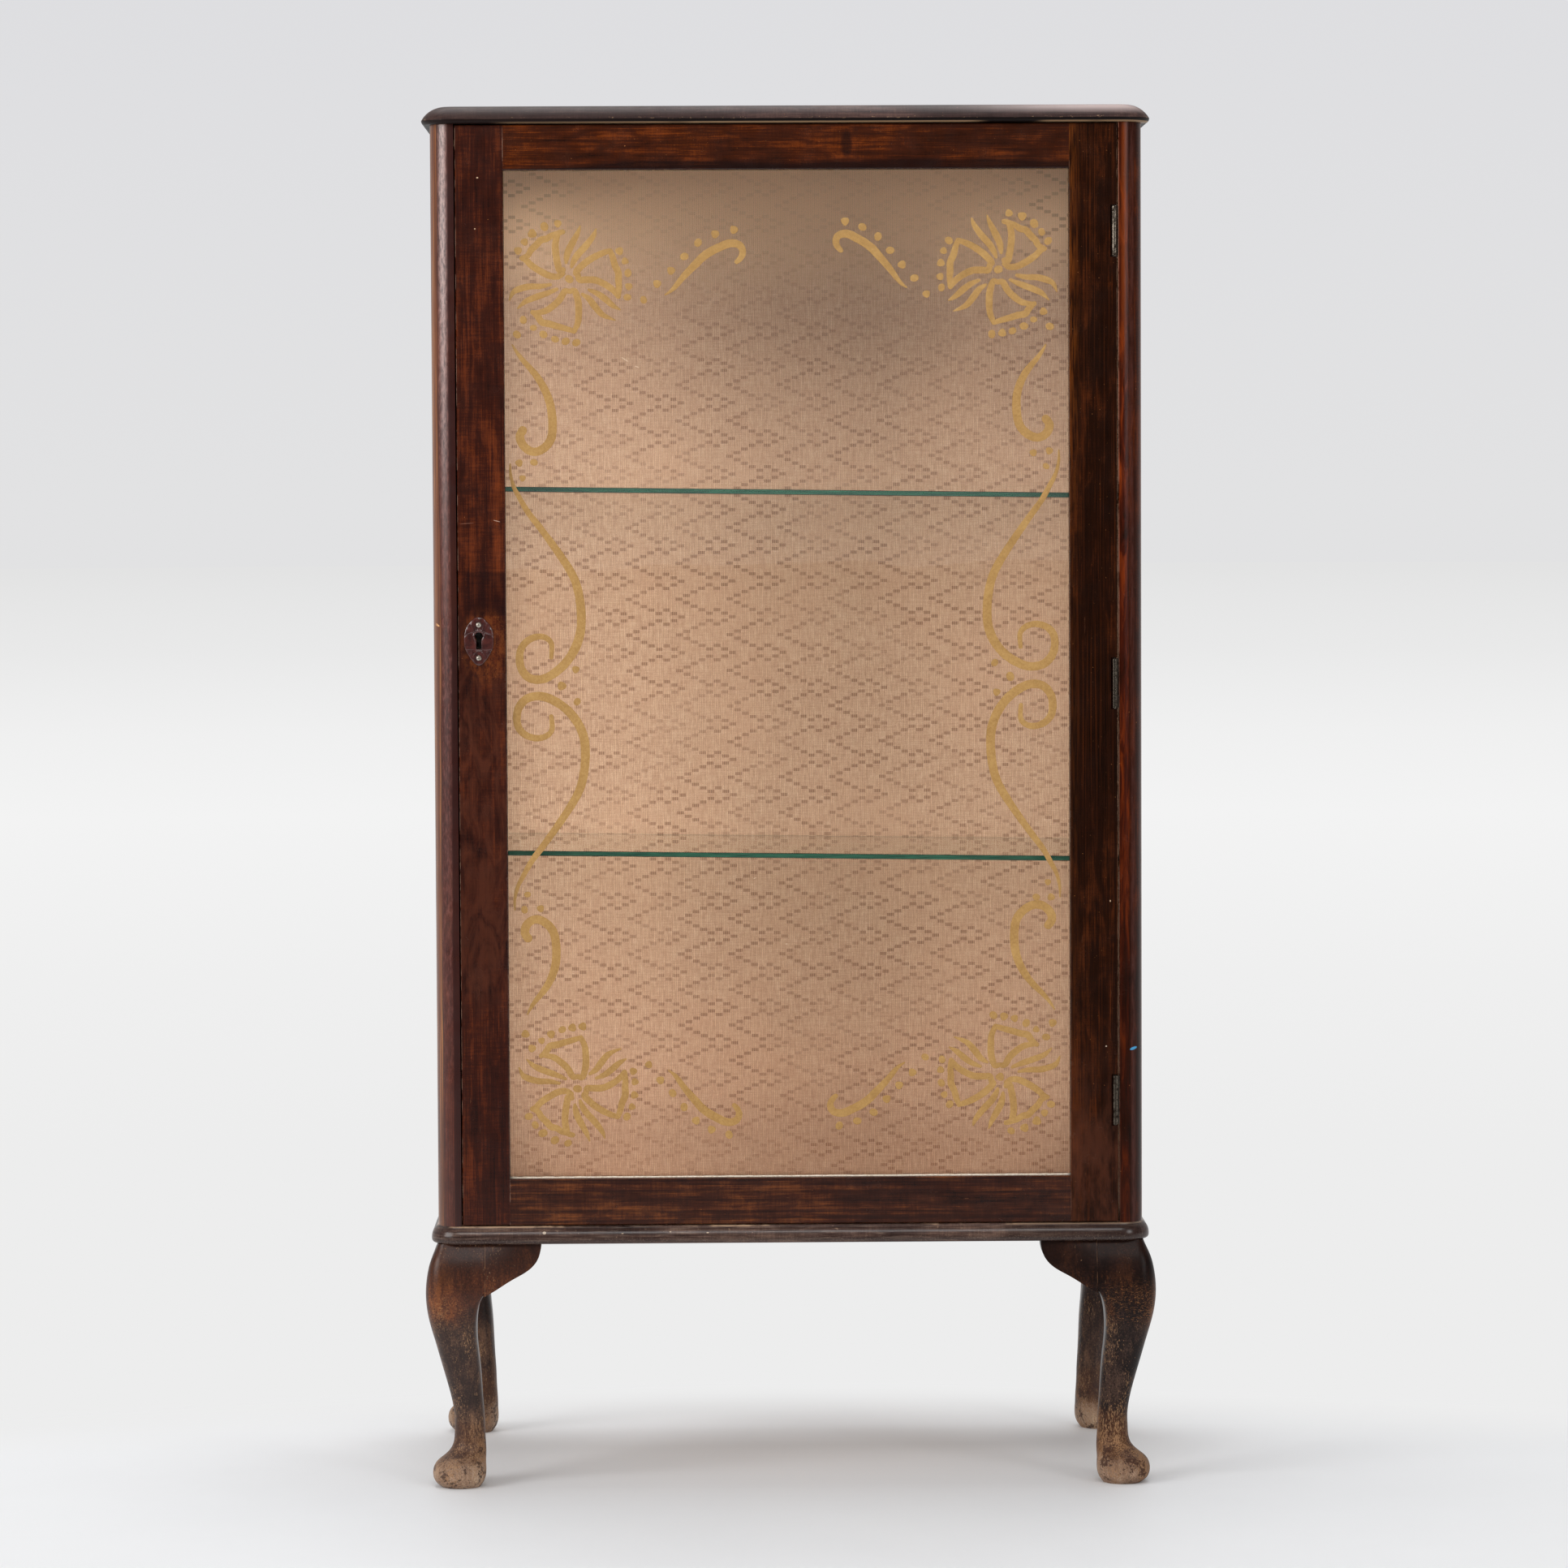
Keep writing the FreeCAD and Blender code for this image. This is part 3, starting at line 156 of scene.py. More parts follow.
class Shader:
    """One node tree, with a short call for each kind of node used here, and the colour so far."""

    def __init__(self, name, holder=None, place="Object"):
        self.holder = holder or bpy.data.materials.new(name)
        self.holder.use_nodes = True
        self.tree = self.holder.node_tree
        self.tree.nodes.clear()
        self.place = self.add("ShaderNodeTexCoord").outputs[place]
        self.x, self.y, self.z = self.parts_of(self.place)
        self.colour = None

    def add(self, kind, values=(), **settings):
        """A new node with these settings; the values go into its sockets by number or name."""
        node = self.tree.nodes.new(kind)
        for key, setting in settings.items():
            setattr(node, key, setting)
        for key, value in values.items() if isinstance(values, dict) else enumerate(values):
            if isinstance(value, Value):
                value = value.socket
            if isinstance(value, bpy.types.NodeSocket):
                self.tree.links.new(value, node.inputs[key])
            elif value is not None:
                node.inputs[key].default_value = value
        return node

    def parts_of(self, vector):
        return [Value(self, socket) for socket in self.add("ShaderNodeSeparateXYZ", [vector]).outputs]

    def calc(self, operation, *values):
        return Value(self, self.add("ShaderNodeMath", values, operation=operation).outputs[0])

    def stretched(self, per_metre, shift):
        values = {"Vector": self.place, "Scale": triple(per_metre), "Location": triple(shift)}
        return self.add("ShaderNodeMapping", values, vector_type="POINT").outputs[0]

    def noise(self, per_metre, shift=0, detail=3, rough=0.5, warp=0):
        values = {"Vector": self.stretched(per_metre, shift), "Scale": 1, "Detail": detail,
                  "Roughness": rough, "Distortion": warp}
        return Value(self, self.add("ShaderNodeTexNoise", values).outputs[0])

    def bands(self, per_metre, shift, warp, warp_scale, direction):
        values = {"Vector": self.stretched(per_metre, shift), "Scale": 1, "Distortion": warp,
                  "Detail": 2, "Detail Scale": warp_scale}
        return Value(self, self.add("ShaderNodeTexWave", values, bands_direction=direction).outputs[1])

    def ramp(self, value, *stops):
        """Each stop is a place from 0 to 1 and a colour."""
        node = self.add("ShaderNodeValToRGB", [value])
        elements = node.color_ramp.elements
        while len(elements) < len(stops):
            elements.new(0.5)
        for element, (place, rgb) in zip(elements, stops):
            element.position = place
            element.color = srgb(*rgb)
        return node.outputs[0]

    def mix(self, share, first, second):
        """Colours between first and second, each of them three numbers or a socket."""
        first, second = [srgb(*value) if isinstance(value, tuple) else value for value in (first, second)]
        return self.add("ShaderNodeMix", {0: share, 6: first, 7: second}, data_type="RGBA").outputs[2]

    def paint(self, share, second):
        self.colour = self.mix(share, self.colour, second)

    def bump(self, height, distance_mm, normal=None):
        values = {"Height": height, "Distance": distance_mm * mm, "Normal": normal}
        return self.add("ShaderNodeBump", values).outputs[0]

    def surface(self, roughness, normal=None, colour=None, **sockets):
        colour = srgb(*colour) if colour else self.colour
        values = {"Base Color": colour, "Roughness": roughness, "Normal": normal}
        values.update({key.replace("_", " "): value for key, value in sockets.items()})
        return self.add("ShaderNodeBsdfPrincipled", values).outputs[0]

    def blend(self, share, first, second):
        return self.add("ShaderNodeMixShader", [share, first, second]).outputs[0]

    def done(self, shader, kind="ShaderNodeOutputMaterial"):
        self.add(kind, {"Surface": shader})
        return self.holder

    def ellipse(self, x, z, half_x, half_z):
        """0 at x, z and 1 on the ellipse with these half widths."""
        across, up = (self.x - x) / half_x, (self.z - z) / half_z
        return across * across + up * up

    def mark(self, plane_y, px, py, half_long_mm, half_wide_mm, rgb, tilt=0, share=0.85):
        """A small chip or scratch on a front face: an ellipse round a pixel, tilted from level."""
        point = photo_point(px, py, plane_y)
        half_long, half_wide = half_long_mm * mm, half_wide_mm * mm
        from_x, from_z = self.x - point.x, self.z - point.z
        run, rise = cos(radians(tilt)), sin(radians(tilt))
        along = from_x * (run / half_long) + from_z * (rise / half_long)
        over = from_z * (run / half_wide) + from_x * (-rise / half_wide)
        near = self.y.step(point.y + mark_depth, point.y + mark_depth * 0.6)
        self.paint((along * along + over * over).step(1.2, 0.6) * near * share, rgb)

    def wear_and_highlight_upright_edges(self, low, high, strength):
        """Pale broken lines on a stile's two upright edges: worn varnish, and a painted highlight where the
        edges catch the light.
        """
        near = self.calc("MAXIMUM", self.x.step(low.x + pale_edge_w, low.x + pale_edge_w * 0.4),
                         self.x.step(high.x - pale_edge_w, high.x - pale_edge_w * 0.4))
        broken = self.noise((90, 90, 70), detail=4, rough=0.7).step(0.42, 0.62)
        at_face = self.y.step(stile_low.y + 2 * pale_edge_w, stile_low.y + pale_edge_w)
        self.paint(near * at_face * (broken * strength), (158, 124, 106))


def stained_wood(name, grain, seed, tones, look=None, balance=0.45, contrast=1.0, curl=0.55, gloss=0.25,
                 shine=0.3):
    """Dark stained wood under old varnish: soft clouds, streaks along the grain, and curl.

    look is a function that paints what only this piece has, such as a worn edge or a knot.
    """
    s = Shader(name)
    shift = (seed, seed * 1.7, seed * 0.6)

    def layer(across, along, through, detail, rough=0.5, warp=0, shift=shift):
        turned = {"Z": (across, through, along), "X": (along, through, across), "Y": (across, along, through)}
        return s.noise(turned[grain], shift, detail, rough, warp)

    fibres = layer(1100, 30, 1100, detail=3, rough=0.6)
    ripple = layer(60, 620, 60, detail=4, rough=0.7)
    tone = balance
    for share, noise in (
            (1.2 * contrast, layer(16, 6, 16, detail=3, warp=0.8)),
            (0.9 * contrast, layer(110, 34, 110, detail=4, rough=0.6, warp=0.6)),
            (0.95 * contrast, layer(240, 4.5, 240, detail=5, rough=0.66, warp=0.9)),
            (0.7, fibres), (curl, ripple), (0.35, s.noise(1300, shift, detail=2, rough=0.7))):
        tone = tone + noise.swing(share)
    s.colour = s.ramp(tone, *zip(tone_places, tones))
    specks = s.noise(620, shift, detail=2).step(0.75, 0.79)
    s.paint(specks * 0.7, (176, 112, 62))
    scratches = layer(1500, 36, 700, detail=1, warp=2, shift=(seed * 2, seed, seed)).step(0.80, 0.82)
    s.paint(scratches * 0.4, (150, 100, 70))
    if look is not None:
        look(s)
    rough = gloss + s.noise(60, shift).swing(0.16)
    normal = s.bump(layer(90, 22, 90, detail=2), 0.12)
    normal = s.bump(fibres * 0.7 + ripple * 0.5, 0.018, normal)
    return s.done(s.surface(rough, normal, Specular_IOR_Level=shine))


def left_stile_look(s):
    """An amber patch rubbed round the keyhole plate, a dark stain above it, and worn edges with a painted
    highlight.
    """
    plate_low, plate_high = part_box("keyhole_plate")
    middle = (plate_low + plate_high) / 2
    reach = s.ellipse(middle.x + 5 * mm, middle.z - 4 * mm, 24 * mm, 40 * mm)
    blotch = s.noise((180, 180, 110), (6, 2, 1), detail=5, rough=0.7)
    lit = s.noise((70, 70, 22), (3, 1, 6), detail=5, rough=0.65, warp=1).step(0.36, 0.64)
    s.paint(s.z.window(0.42, middle.z - 30 * mm, 30 * mm) * lit * 0.5, (88, 44, 27))
    s.paint(reach.step(1.0, 0.3) * blotch.step(0.40, 0.62) * 0.6, (108, 54, 20))
    dots = s.noise(1000, (1, 4, 2), detail=2).step(0.62, 0.70)
    right_side = s.x.step_mm(middle.x, 0, 12)
    s.paint(dots * (reach.step(1.1, 0.4) * right_side) * 0.4, (176, 104, 48))
    stain = (s.z.window_mm(plate_high.z, 1.5, 40, 1.2)
             * s.x.window(stile_low.x + 7 * mm, stile_high.x + 5 * mm, 2 * mm))
    s.paint(stain * 0.55, (26, 8, 8))
    front_y = stile_low.y
    s.mark(front_y, 588, 219, 0.9, 0.7, (190, 160, 130))
    s.mark(front_y, 585, 282, 0.7, 0.6, (180, 150, 120))
    s.mark(front_y, 612, 642, 3.2, 0.35, (190, 160, 140), -14, 0.6)
    s.mark(front_y, 575, 645, 6.5, 0.3, (150, 100, 80), 4, 0.45)
    s.wear_and_highlight_upright_edges(stile_low, stile_high, 0.7)


def right_stile_look(s):
    """Worn edges with a painted highlight, a warm glow beside the glass, a paler foot, and a fine upright
    figure.
    """
    low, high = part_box("door_right_stile")
    s.wear_and_highlight_upright_edges(low, high, 0.4)
    glow = (s.x.step_mm(low.x, 12, 0.5)
            * s.noise((500, 500, 30), 2, detail=4, rough=0.65).step(0.38, 0.66))
    s.paint(glow * (0.2 + s.z.step(0.80, 1.02) * 0.55), (104, 52, 10))
    foot = s.z.step(0.42, 0.28) * s.noise((90, 90, 26), detail=4, rough=0.65).step(0.32, 0.66)
    s.paint(foot * 0.55, (84, 44, 28))
    figure = s.noise((620, 620, 5), (7, 3, 1), detail=4, rough=0.6, warp=0.5).step(0.52, 0.72)
    s.paint(figure * 0.4, (86, 38, 8))
    s.mark(low.y, 1363, 1289, 0.7, 0.6, (190, 170, 150))
    s.mark(low.y, 1368, 1110, 0.6, 0.9, (190, 160, 130))


def top_rail_look(s):
    """Darker scalloped grain along the lower edge, one upright knot, and a darker right end."""
    starts_x = photo_point(655, 200, stile_low.y).x
    scallops = s.noise((9, 9, 60), 1, detail=2) * (9 * mm)
    edge = (top_rail_low - 1.5 * mm) + s.x.step_mm(starts_x, 0, 110) * (2 * mm + scallops)
    s.paint((s.z - edge).step(5 * mm, 0) * 0.85, (24, 8, 6))
    knot = s.ellipse(photo_point(1043, 180, stile_low.y).x, top_rail_low + 22 * mm, 6 * mm, 15 * mm)
    s.paint(knot.step(1.0, 0.2) * 0.7, (28, 10, 6))
    s.paint(s.x.step(0.06, 0.20) * 0.35, (34, 12, 4))


def bottom_rail_look(s):
    """A dark line under the glass, and long wavy bands."""
    bands = s.bands((1.2, 1.0, 40), 0, warp=5, warp_scale=2.4, direction="Z")
    s.paint(bands.step(0.55, 0.95) * 0.45, (28, 11, 9))
    s.paint(s.z.window_mm(sight_low, -3, -1, 0.6) * 0.6, (24, 10, 9))


def top_board_look(s):
    """Painted shade on the undercut, with a tan line of bare wood at its foot, chips along the arris,
    and a painted sheen on the right of the rounded front."""
    arris_z = board_low.z + board_arris_rise
    # Painted shade: the undercut below the arris, nearly black.
    s.paint(s.z.step_mm(arris_z, 0, -0.7), (16, 9, 8))
    foot = s.z.step_mm(board_low.z, 1.5, 0.9)
    broken = s.noise(9, 5, detail=2).step(0.36, 0.46)
    starts_x = photo_point(600, 150, board_low.y).x
    front = s.y.step_mm(cad_low.y, 40, 30) * s.x.step_mm(starts_x, 0, 25)
    s.paint(foot * broken * front, (132, 106, 80))
    arris = s.z.window_mm(board_low.z, 3.6, 5.2, 0.5)
    chips = s.noise((210, 210, 500), detail=4, rough=0.7).step(0.60, 0.66)
    s.paint(arris * chips * 0.8, (150, 118, 90))
    # Painted sheen: the shoulder of the rounded front is painted pale towards the right end, and painted
    # darker towards the left end.
    shoulder = s.y.step_mm(board_low.y, 26, 12)
    painted_sheen = s.x.step(0.12, 0.28) * s.z.step(board_low.z + 6 * mm, board_high.z)
    s.paint(painted_sheen * shoulder * 0.85, (176, 156, 152))
    s.paint(s.x.step(-0.06, -0.24) * shoulder * 0.5, (34, 20, 18))


def base_look(s):
    """The moulding's top arris is rubbed pale, most of all near both ends; it has one nail."""
    patches = s.noise(14, (3, 8, 1), detail=4, rough=0.65)
    ends = abs(s.x).step(0.10, 0.24) * 0.10
    worn = s.z.step_mm(base_high.z, -1.6, -0.5) * (patches + ends).step(0.50, 0.60)
    s.paint(worn * 0.9, (176, 144, 116))
    chips = s.noise(230, (7, 1, 4), detail=4, rough=0.7).step(0.66, 0.70)
    s.paint(chips * 0.6, (158, 128, 104))
    s.mark(base_low.y, 670.7, 1519.5, 2.3, 2.0, (46, 28, 24))
    s.mark(base_low.y, 670.7, 1519.5, 1.6, 1.4, (186, 166, 146))
    for px, py, half in ((767, 1520, 1.1), (826, 1518, 0.9), (872, 1519, 1.2)):
        s.mark(base_low.y, px, py, half, mark_w_mm, (190, 166, 140))
    strands = s.noise((26, 26, 620), (4, 9, 3), detail=5, rough=0.65, warp=1)
    s.paint(strands.step(0.54, 0.66) * 0.35, (146, 124, 108))
    s.paint(strands.step(0.48, 0.36) * 0.55, (34, 22, 19))
    s.paint((s.x + patches * 0.08).step(0.20, 0.27) * 0.55, (36, 24, 21))
    s.paint(s.z.window_mm(base_low.z, 1.5, 4.5, 0.8) * 0.45, (38, 26, 23))
    grit = (s.noise(1100, (4, 4, 9), detail=3, rough=0.7).step(0.56, 0.66)
            * s.z.step_mm(base_low.z, 9, 4))
    s.paint(grit * 0.4, (138, 116, 100))


def on_post(s, name, sway):
    """A post's box, how far across it a point is, swaying with height, 1 on the post's front, and
    a function for a band up its front with these edges in mm."""
    low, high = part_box(name)
    across = s.x - low.x + sway.swing(4 * mm)
    at_front = s.y.step_mm(low.y, 30, 14)
    return low, high, across, at_front, lambda *edges: across.window_mm(0, *edges) * at_front


def right_post_look(s):
    """Deep orange flame beside the door, then a painted mauve sheen, and an orange rim; a painted pale
    highlight along the edge beside the door; one blue fleck.
    """
    sway = s.noise((3, 3, 4), (2, 1, 5), detail=2)
    low, high, _, at_front, band = on_post(s, "right_front_post", sway)
    flame = s.noise((150, 150, 16), 4, detail=5, rough=0.6, warp=1.2)
    bright = s.ramp(flame, (0.34, (32, 8, 1)), (0.5, (60, 15, 1)), (0.68, (118, 44, 3)))
    s.paint(band(0.6, 8.8, 1) * (0.35 + s.z.step(0.35, 0.75) * 0.6), bright)
    s.paint(band(3, 7, 1.5) * s.z.step(0.95, 1.08) * 0.45, (136, 60, 10))
    # Painted sheen: a mauve band up the front, broken by the grain.
    grain = s.noise((520, 520, 60), (1, 6, 2), detail=4, rough=0.7).step(0.36, 0.62)
    s.paint(band(10.4, 14, 1.2) * (0.15 + grain * 0.40), (84, 50, 44))
    s.paint(s.x.step_mm(high.x, -1.4, -0.5) * at_front * 0.6, (120, 58, 26))
    # Painted highlight: a pale broken line along the edge beside the door, stronger higher up.
    edge = s.x.step_mm(low.x, 0.6, 0.3) * s.y.step_mm(low.y, 1.4, 0.7)
    broken = s.noise((60, 60, 40), (3, 1, 1), detail=4, rough=0.7).step(0.36, 0.56)
    highlight_height_share = 0.3 + s.z.step(0.62, 0.90) * 0.7
    s.paint(edge * broken * (highlight_height_share * 0.75), (168, 110, 88))
    s.mark(low.y, 1397, 1292, 3.4, 1.3, (70, 150, 196), 16, 0.95)


def left_post_look(s):
    """Tan and amber at the outer edge, a plum band behind a thin dark line that is partly a painted broken
    highlight, a painted highlight higher up, and dark red beside the door.
    """
    sway = s.noise((2, 2, 5), (8, 1, 5), detail=3)
    low, _, across, _, band = on_post(s, "left_front_post", sway)
    flame = s.noise((420, 420, 8), (9, 4, 4), detail=5, rough=0.65)
    amber = s.ramp(flame, (0.34, (66, 28, 14)), (0.5, (112, 62, 32)), (0.66, (158, 104, 58)))
    s.paint(band(-3, 6, 0.6) * 0.9, amber)
    # Plum tone with a painted broken highlight in it, fainter lower down.
    coarse = s.noise((560, 560, 130), (2, 9, 4), detail=4, rough=0.75)
    plum = s.ramp(coarse, (0.32, (40, 14, 11)), (0.5, (72, 32, 26)), (0.68, (108, 63, 56)))
    s.paint(band(6.8, 16.2, 0.8) * (0.85 + s.z.step(0.50, 0.30) * -0.5), plum)
    s.paint(band(6, 6.7, 0.25) * 0.65, (28, 12, 10))
    # Painted highlight: a pale pink band up the front, stronger higher up.
    painted_highlight = band(8, 14, 2.4) * s.z.step(0.80, 1.10)
    s.paint(painted_highlight * (0.06 + coarse.step(0.36, 0.62) * 0.34), (206, 172, 162))
    s.paint(across.step_mm(0, 14.8, 16.4) * 0.92, (44, 9, 5))
    s.paint(s.y.step_mm(low.y, 16, 34) * 0.6, (48, 17, 9))
    rings = s.bands((150, 150, 9), (0, 0, 2), warp=6, warp_scale=1, direction="X")
    s.paint(s.z.step(0.42, 0.30) * rings.step(0.6, 0.9) * 0.5, (36, 16, 11))
    s.mark(low.y, 537.5, 770, 3.0, 1.0, (214, 158, 104), -30, 0.9)


def paint_nodes(names, material):
    for name in names:
        for material_slot in nodes[name].material_slots:
            material_slot.material = material


def case_wood_materials():
    """Stained wood for each piece of the case and door, each with its own figure and tone."""
    sides = ["%s_side_%s_rail" % (side, place) for side in ("left", "right") for place in ("top", "bottom")]
    stain = dict(look=base_look, tones=((36, 23, 20), (70, 51, 45), (120, 94, 80)))
    # The material's name, its nodes, its grain, its seed, and its tones, look and finish.
    for name, names, grain, seed, more in (
            ("left_stile", ["door_left_stile"], "Z", 1.3,
             dict(look=left_stile_look, tones=((26, 9, 7), (54, 20, 10), (106, 46, 16)))),
            ("right_stile", ["door_right_stile"], "Z", 4.1,
             dict(look=right_stile_look, tones=((14, 4, 1), (32, 11, 3), (86, 38, 9)),
                  contrast=0.8, curl=0.2, shine=0.16)),
            ("top_rail", ["door_top_rail"], "X", 2.2,
             dict(look=top_rail_look, tones=((26, 8, 3), (62, 23, 4), (128, 57, 8)), curl=0.3, balance=0.5)),
            ("bottom_rail", ["door_bottom_rail"], "X", 7.7,
             dict(look=bottom_rail_look, tones=((28, 12, 9), (60, 28, 16), (118, 64, 28)),
                  contrast=1.2, curl=0.5, balance=0.52)),
            ("left_post", ["left_front_post"], "Z", 3.6,
             dict(look=left_post_look, tones=((40, 13, 6), (90, 36, 15), (150, 74, 30)),
                  gloss=0.3, shine=0.6, curl=0.3)),
            ("right_post", ["right_front_post"], "Z", 5.2,
             dict(look=right_post_look, tones=((20, 7, 3), (48, 16, 4), (94, 38, 7)), shine=0.14, curl=0.3)),
            ("top_board", ["top_board"], "X", 6.4,
             dict(look=top_board_look, tones=((30, 18, 16), (54, 36, 33), (88, 64, 57)),
                  gloss=0.46, shine=0.14)),
            ("base_front", ["base_front_moulding"], "X", 8.3, dict(stain, gloss=0.22, shine=0.4)),
            ("base_side", ["base_left_moulding", "base_right_moulding"], "Y", 9.3, dict(stain, gloss=0.3)),
            ("side_rails", sides, "Y", 10.9, dict(tones=((26, 10, 8), (56, 23, 13), (96, 44, 18)))),
            ("back_posts", ["left_back_post", "right_back_post"], "Z", 12.7,
             dict(tones=((28, 12, 9), (54, 24, 15), (88, 44, 24)))),
            ("beads", ["door_beads", "left_side_beads", "right_side_beads", "door_stop"], "Z", 14.2,
             dict(tones=((26, 10, 8), (50, 21, 13), (84, 40, 20))))):
        paint_nodes(names, stained_wood("wood_" + name, grain, seed, **more))


def leg_wood(name, seed, knee_tones, shin_tones, foot_tones, shine):
    """Stained legs: warm knees, dark shins, and pale speckled wear that grows towards the foot."""
    s = Shader(name)
    shift = (seed, seed, seed * 0.4)
    height = s.z / leg_high.z
    clouds = s.noise((34, 34, 22), shift, detail=3)
    grit = s.noise((760, 760, 560), shift, detail=4, rough=0.75)
    streaks = s.noise((190, 190, 22), shift, detail=5, rough=0.66, warp=0.9)
    tone = 0.5 + streaks.swing(1.1) + clouds.swing(1.7) + grit.swing(1.5)
    ankle_tones = ((40, 24, 17), (78, 48, 31), (134, 96, 64))
    knee, shin, ankle, foot = [s.ramp(tone, *zip(tone_places, tones))
                               for tones in (knee_tones, shin_tones, ankle_tones, foot_tones)]
    wavy = height + clouds.swing(0.35)
    s.colour = s.mix(wavy.step(0.74, 0.64), knee, shin)
    s.paint(wavy.step(0.80, 0.95) * 0.65, (34, 16, 10))
    s.paint(wavy.step(0.33, 0.22), ankle)
    s.paint((height + grit.swing(0.35)).step(0.15, 0.06), foot)
    # Varnish rubbed off in flecks: upright ones on the shin, level ones on the knee.
    upright = s.noise((1000, 1000, 260), (seed + 3, seed, seed), detail=4, rough=0.7)
    level = s.noise((420, 420, 1700), (seed, seed + 5, seed), detail=4, rough=0.7, warp=0.5)
    patch = s.noise((46, 46, 20), (seed, seed, seed + 9), detail=3).swing(0.55)
    low_share = height.step(0.55, 0.10)
    not_knee = height.step(0.66, 0.78) * -0.06
    flecks = (upright + patch + not_knee + low_share * 0.09).step(0.62, 0.68)
    s.paint(flecks * 0.8, (154, 116, 82))
    seam_x = -abs(photo_point(597.2, 1560, leg_low.y).x)
    outer = abs(s.x).step(6 * mm - seam_x, 24 * mm - seam_x)
    marks = (level + patch * 0.5 + outer * 0.05).step(0.62, 0.67) * height.window(0.66, 0.82, 0.05)
    s.paint(marks * 0.65, (158, 104, 60))
    seam = ((abs(s.x) * -1).window(seam_x - 0.2 * mm, seam_x + 0.2 * mm, 0.15 * mm)
            * (height.step(0.66, 0.74) * s.noise((90, 90, 60)).step(0.40, 0.52)))
    s.paint(seam * s.y.step_mm(leg_low.y, 40, 30) * 0.45, (140, 100, 70))
    spots = s.noise(430, (seed + 7, seed, seed), detail=5, rough=0.7)
    fine_spots = s.noise((1300, 1300, 900), (seed, seed + 4, seed), detail=3, rough=0.7)
    clusters = s.noise(75, (seed, seed + 8, seed), detail=3).swing(0.9)
    at_foot = height.step(0.28, 0.14)
    dark = (spots + clusters + at_foot * 0.02).step(0.575, 0.64)
    s.paint(dark * (0.25 + at_foot * 0.60), (50, 29, 23))
    s.paint((fine_spots + clusters * 0.3).step(0.50, 0.60) * at_foot * 0.45, (84, 54, 40))
    normal = s.bump(s.noise((80, 80, 34), shift, detail=2), 0.25)
    normal = s.bump(grit * 0.7 + flecks * 0.3, 0.10, normal)
    rough = 0.36 + low_share * 0.12 + flecks * 0.2
    return s.done(s.surface(rough, normal, Specular_IOR_Level=shine))


def leg_materials():
    """The front right leg is darker than the others."""
    brown = (((32, 14, 8), (72, 35, 19), (130, 72, 34)), ((22, 14, 12), (52, 35, 29), (108, 78, 58)),
             ((110, 82, 64), (158, 128, 104), (200, 172, 144)), 0.34)
    black = (((12, 5, 4), (26, 12, 8), (84, 46, 22)), ((14, 9, 9), (30, 20, 18), (84, 62, 50)),
             ((88, 64, 50), (132, 104, 84), (176, 148, 124)), 0.16)
    for number, place in enumerate(("front_left", "front_right", "back_left", "back_right")):
        tones_and_shine = black if place == "front_right" else brown
        wood = leg_wood("wood_leg_" + place, 1.9 + 3.1 * number, *tones_and_shine)
        paint_nodes(["leg_" + place, "knee_wings_" + place], wood)


def plywood(name, seed):
    """Plywood, browned with age, for the boards that the front doesn't show; its edge is stained."""
    s = Shader(name)
    fine = s.noise((900, 900, 30), seed, detail=2)
    tone = s.noise((60, 60, 4), seed, detail=5, rough=0.6, warp=1.4) * 0.7 + fine * 0.3
    s.colour = s.ramp(tone, (0.25, (120, 84, 52)), (0.5, (166, 124, 82)), (0.75, (196, 156, 110)))
    s.paint(s.noise(6, seed, detail=3).step(0.45, 0.75) * 0.45, (96, 66, 44))
    front_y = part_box("case_top_panel")[0].y
    s.paint(s.y.step_mm(front_y, 8, 5) * 0.92, (42, 18, 11))
    return s.done(s.surface(0.72, s.bump(fine, 0.08)))


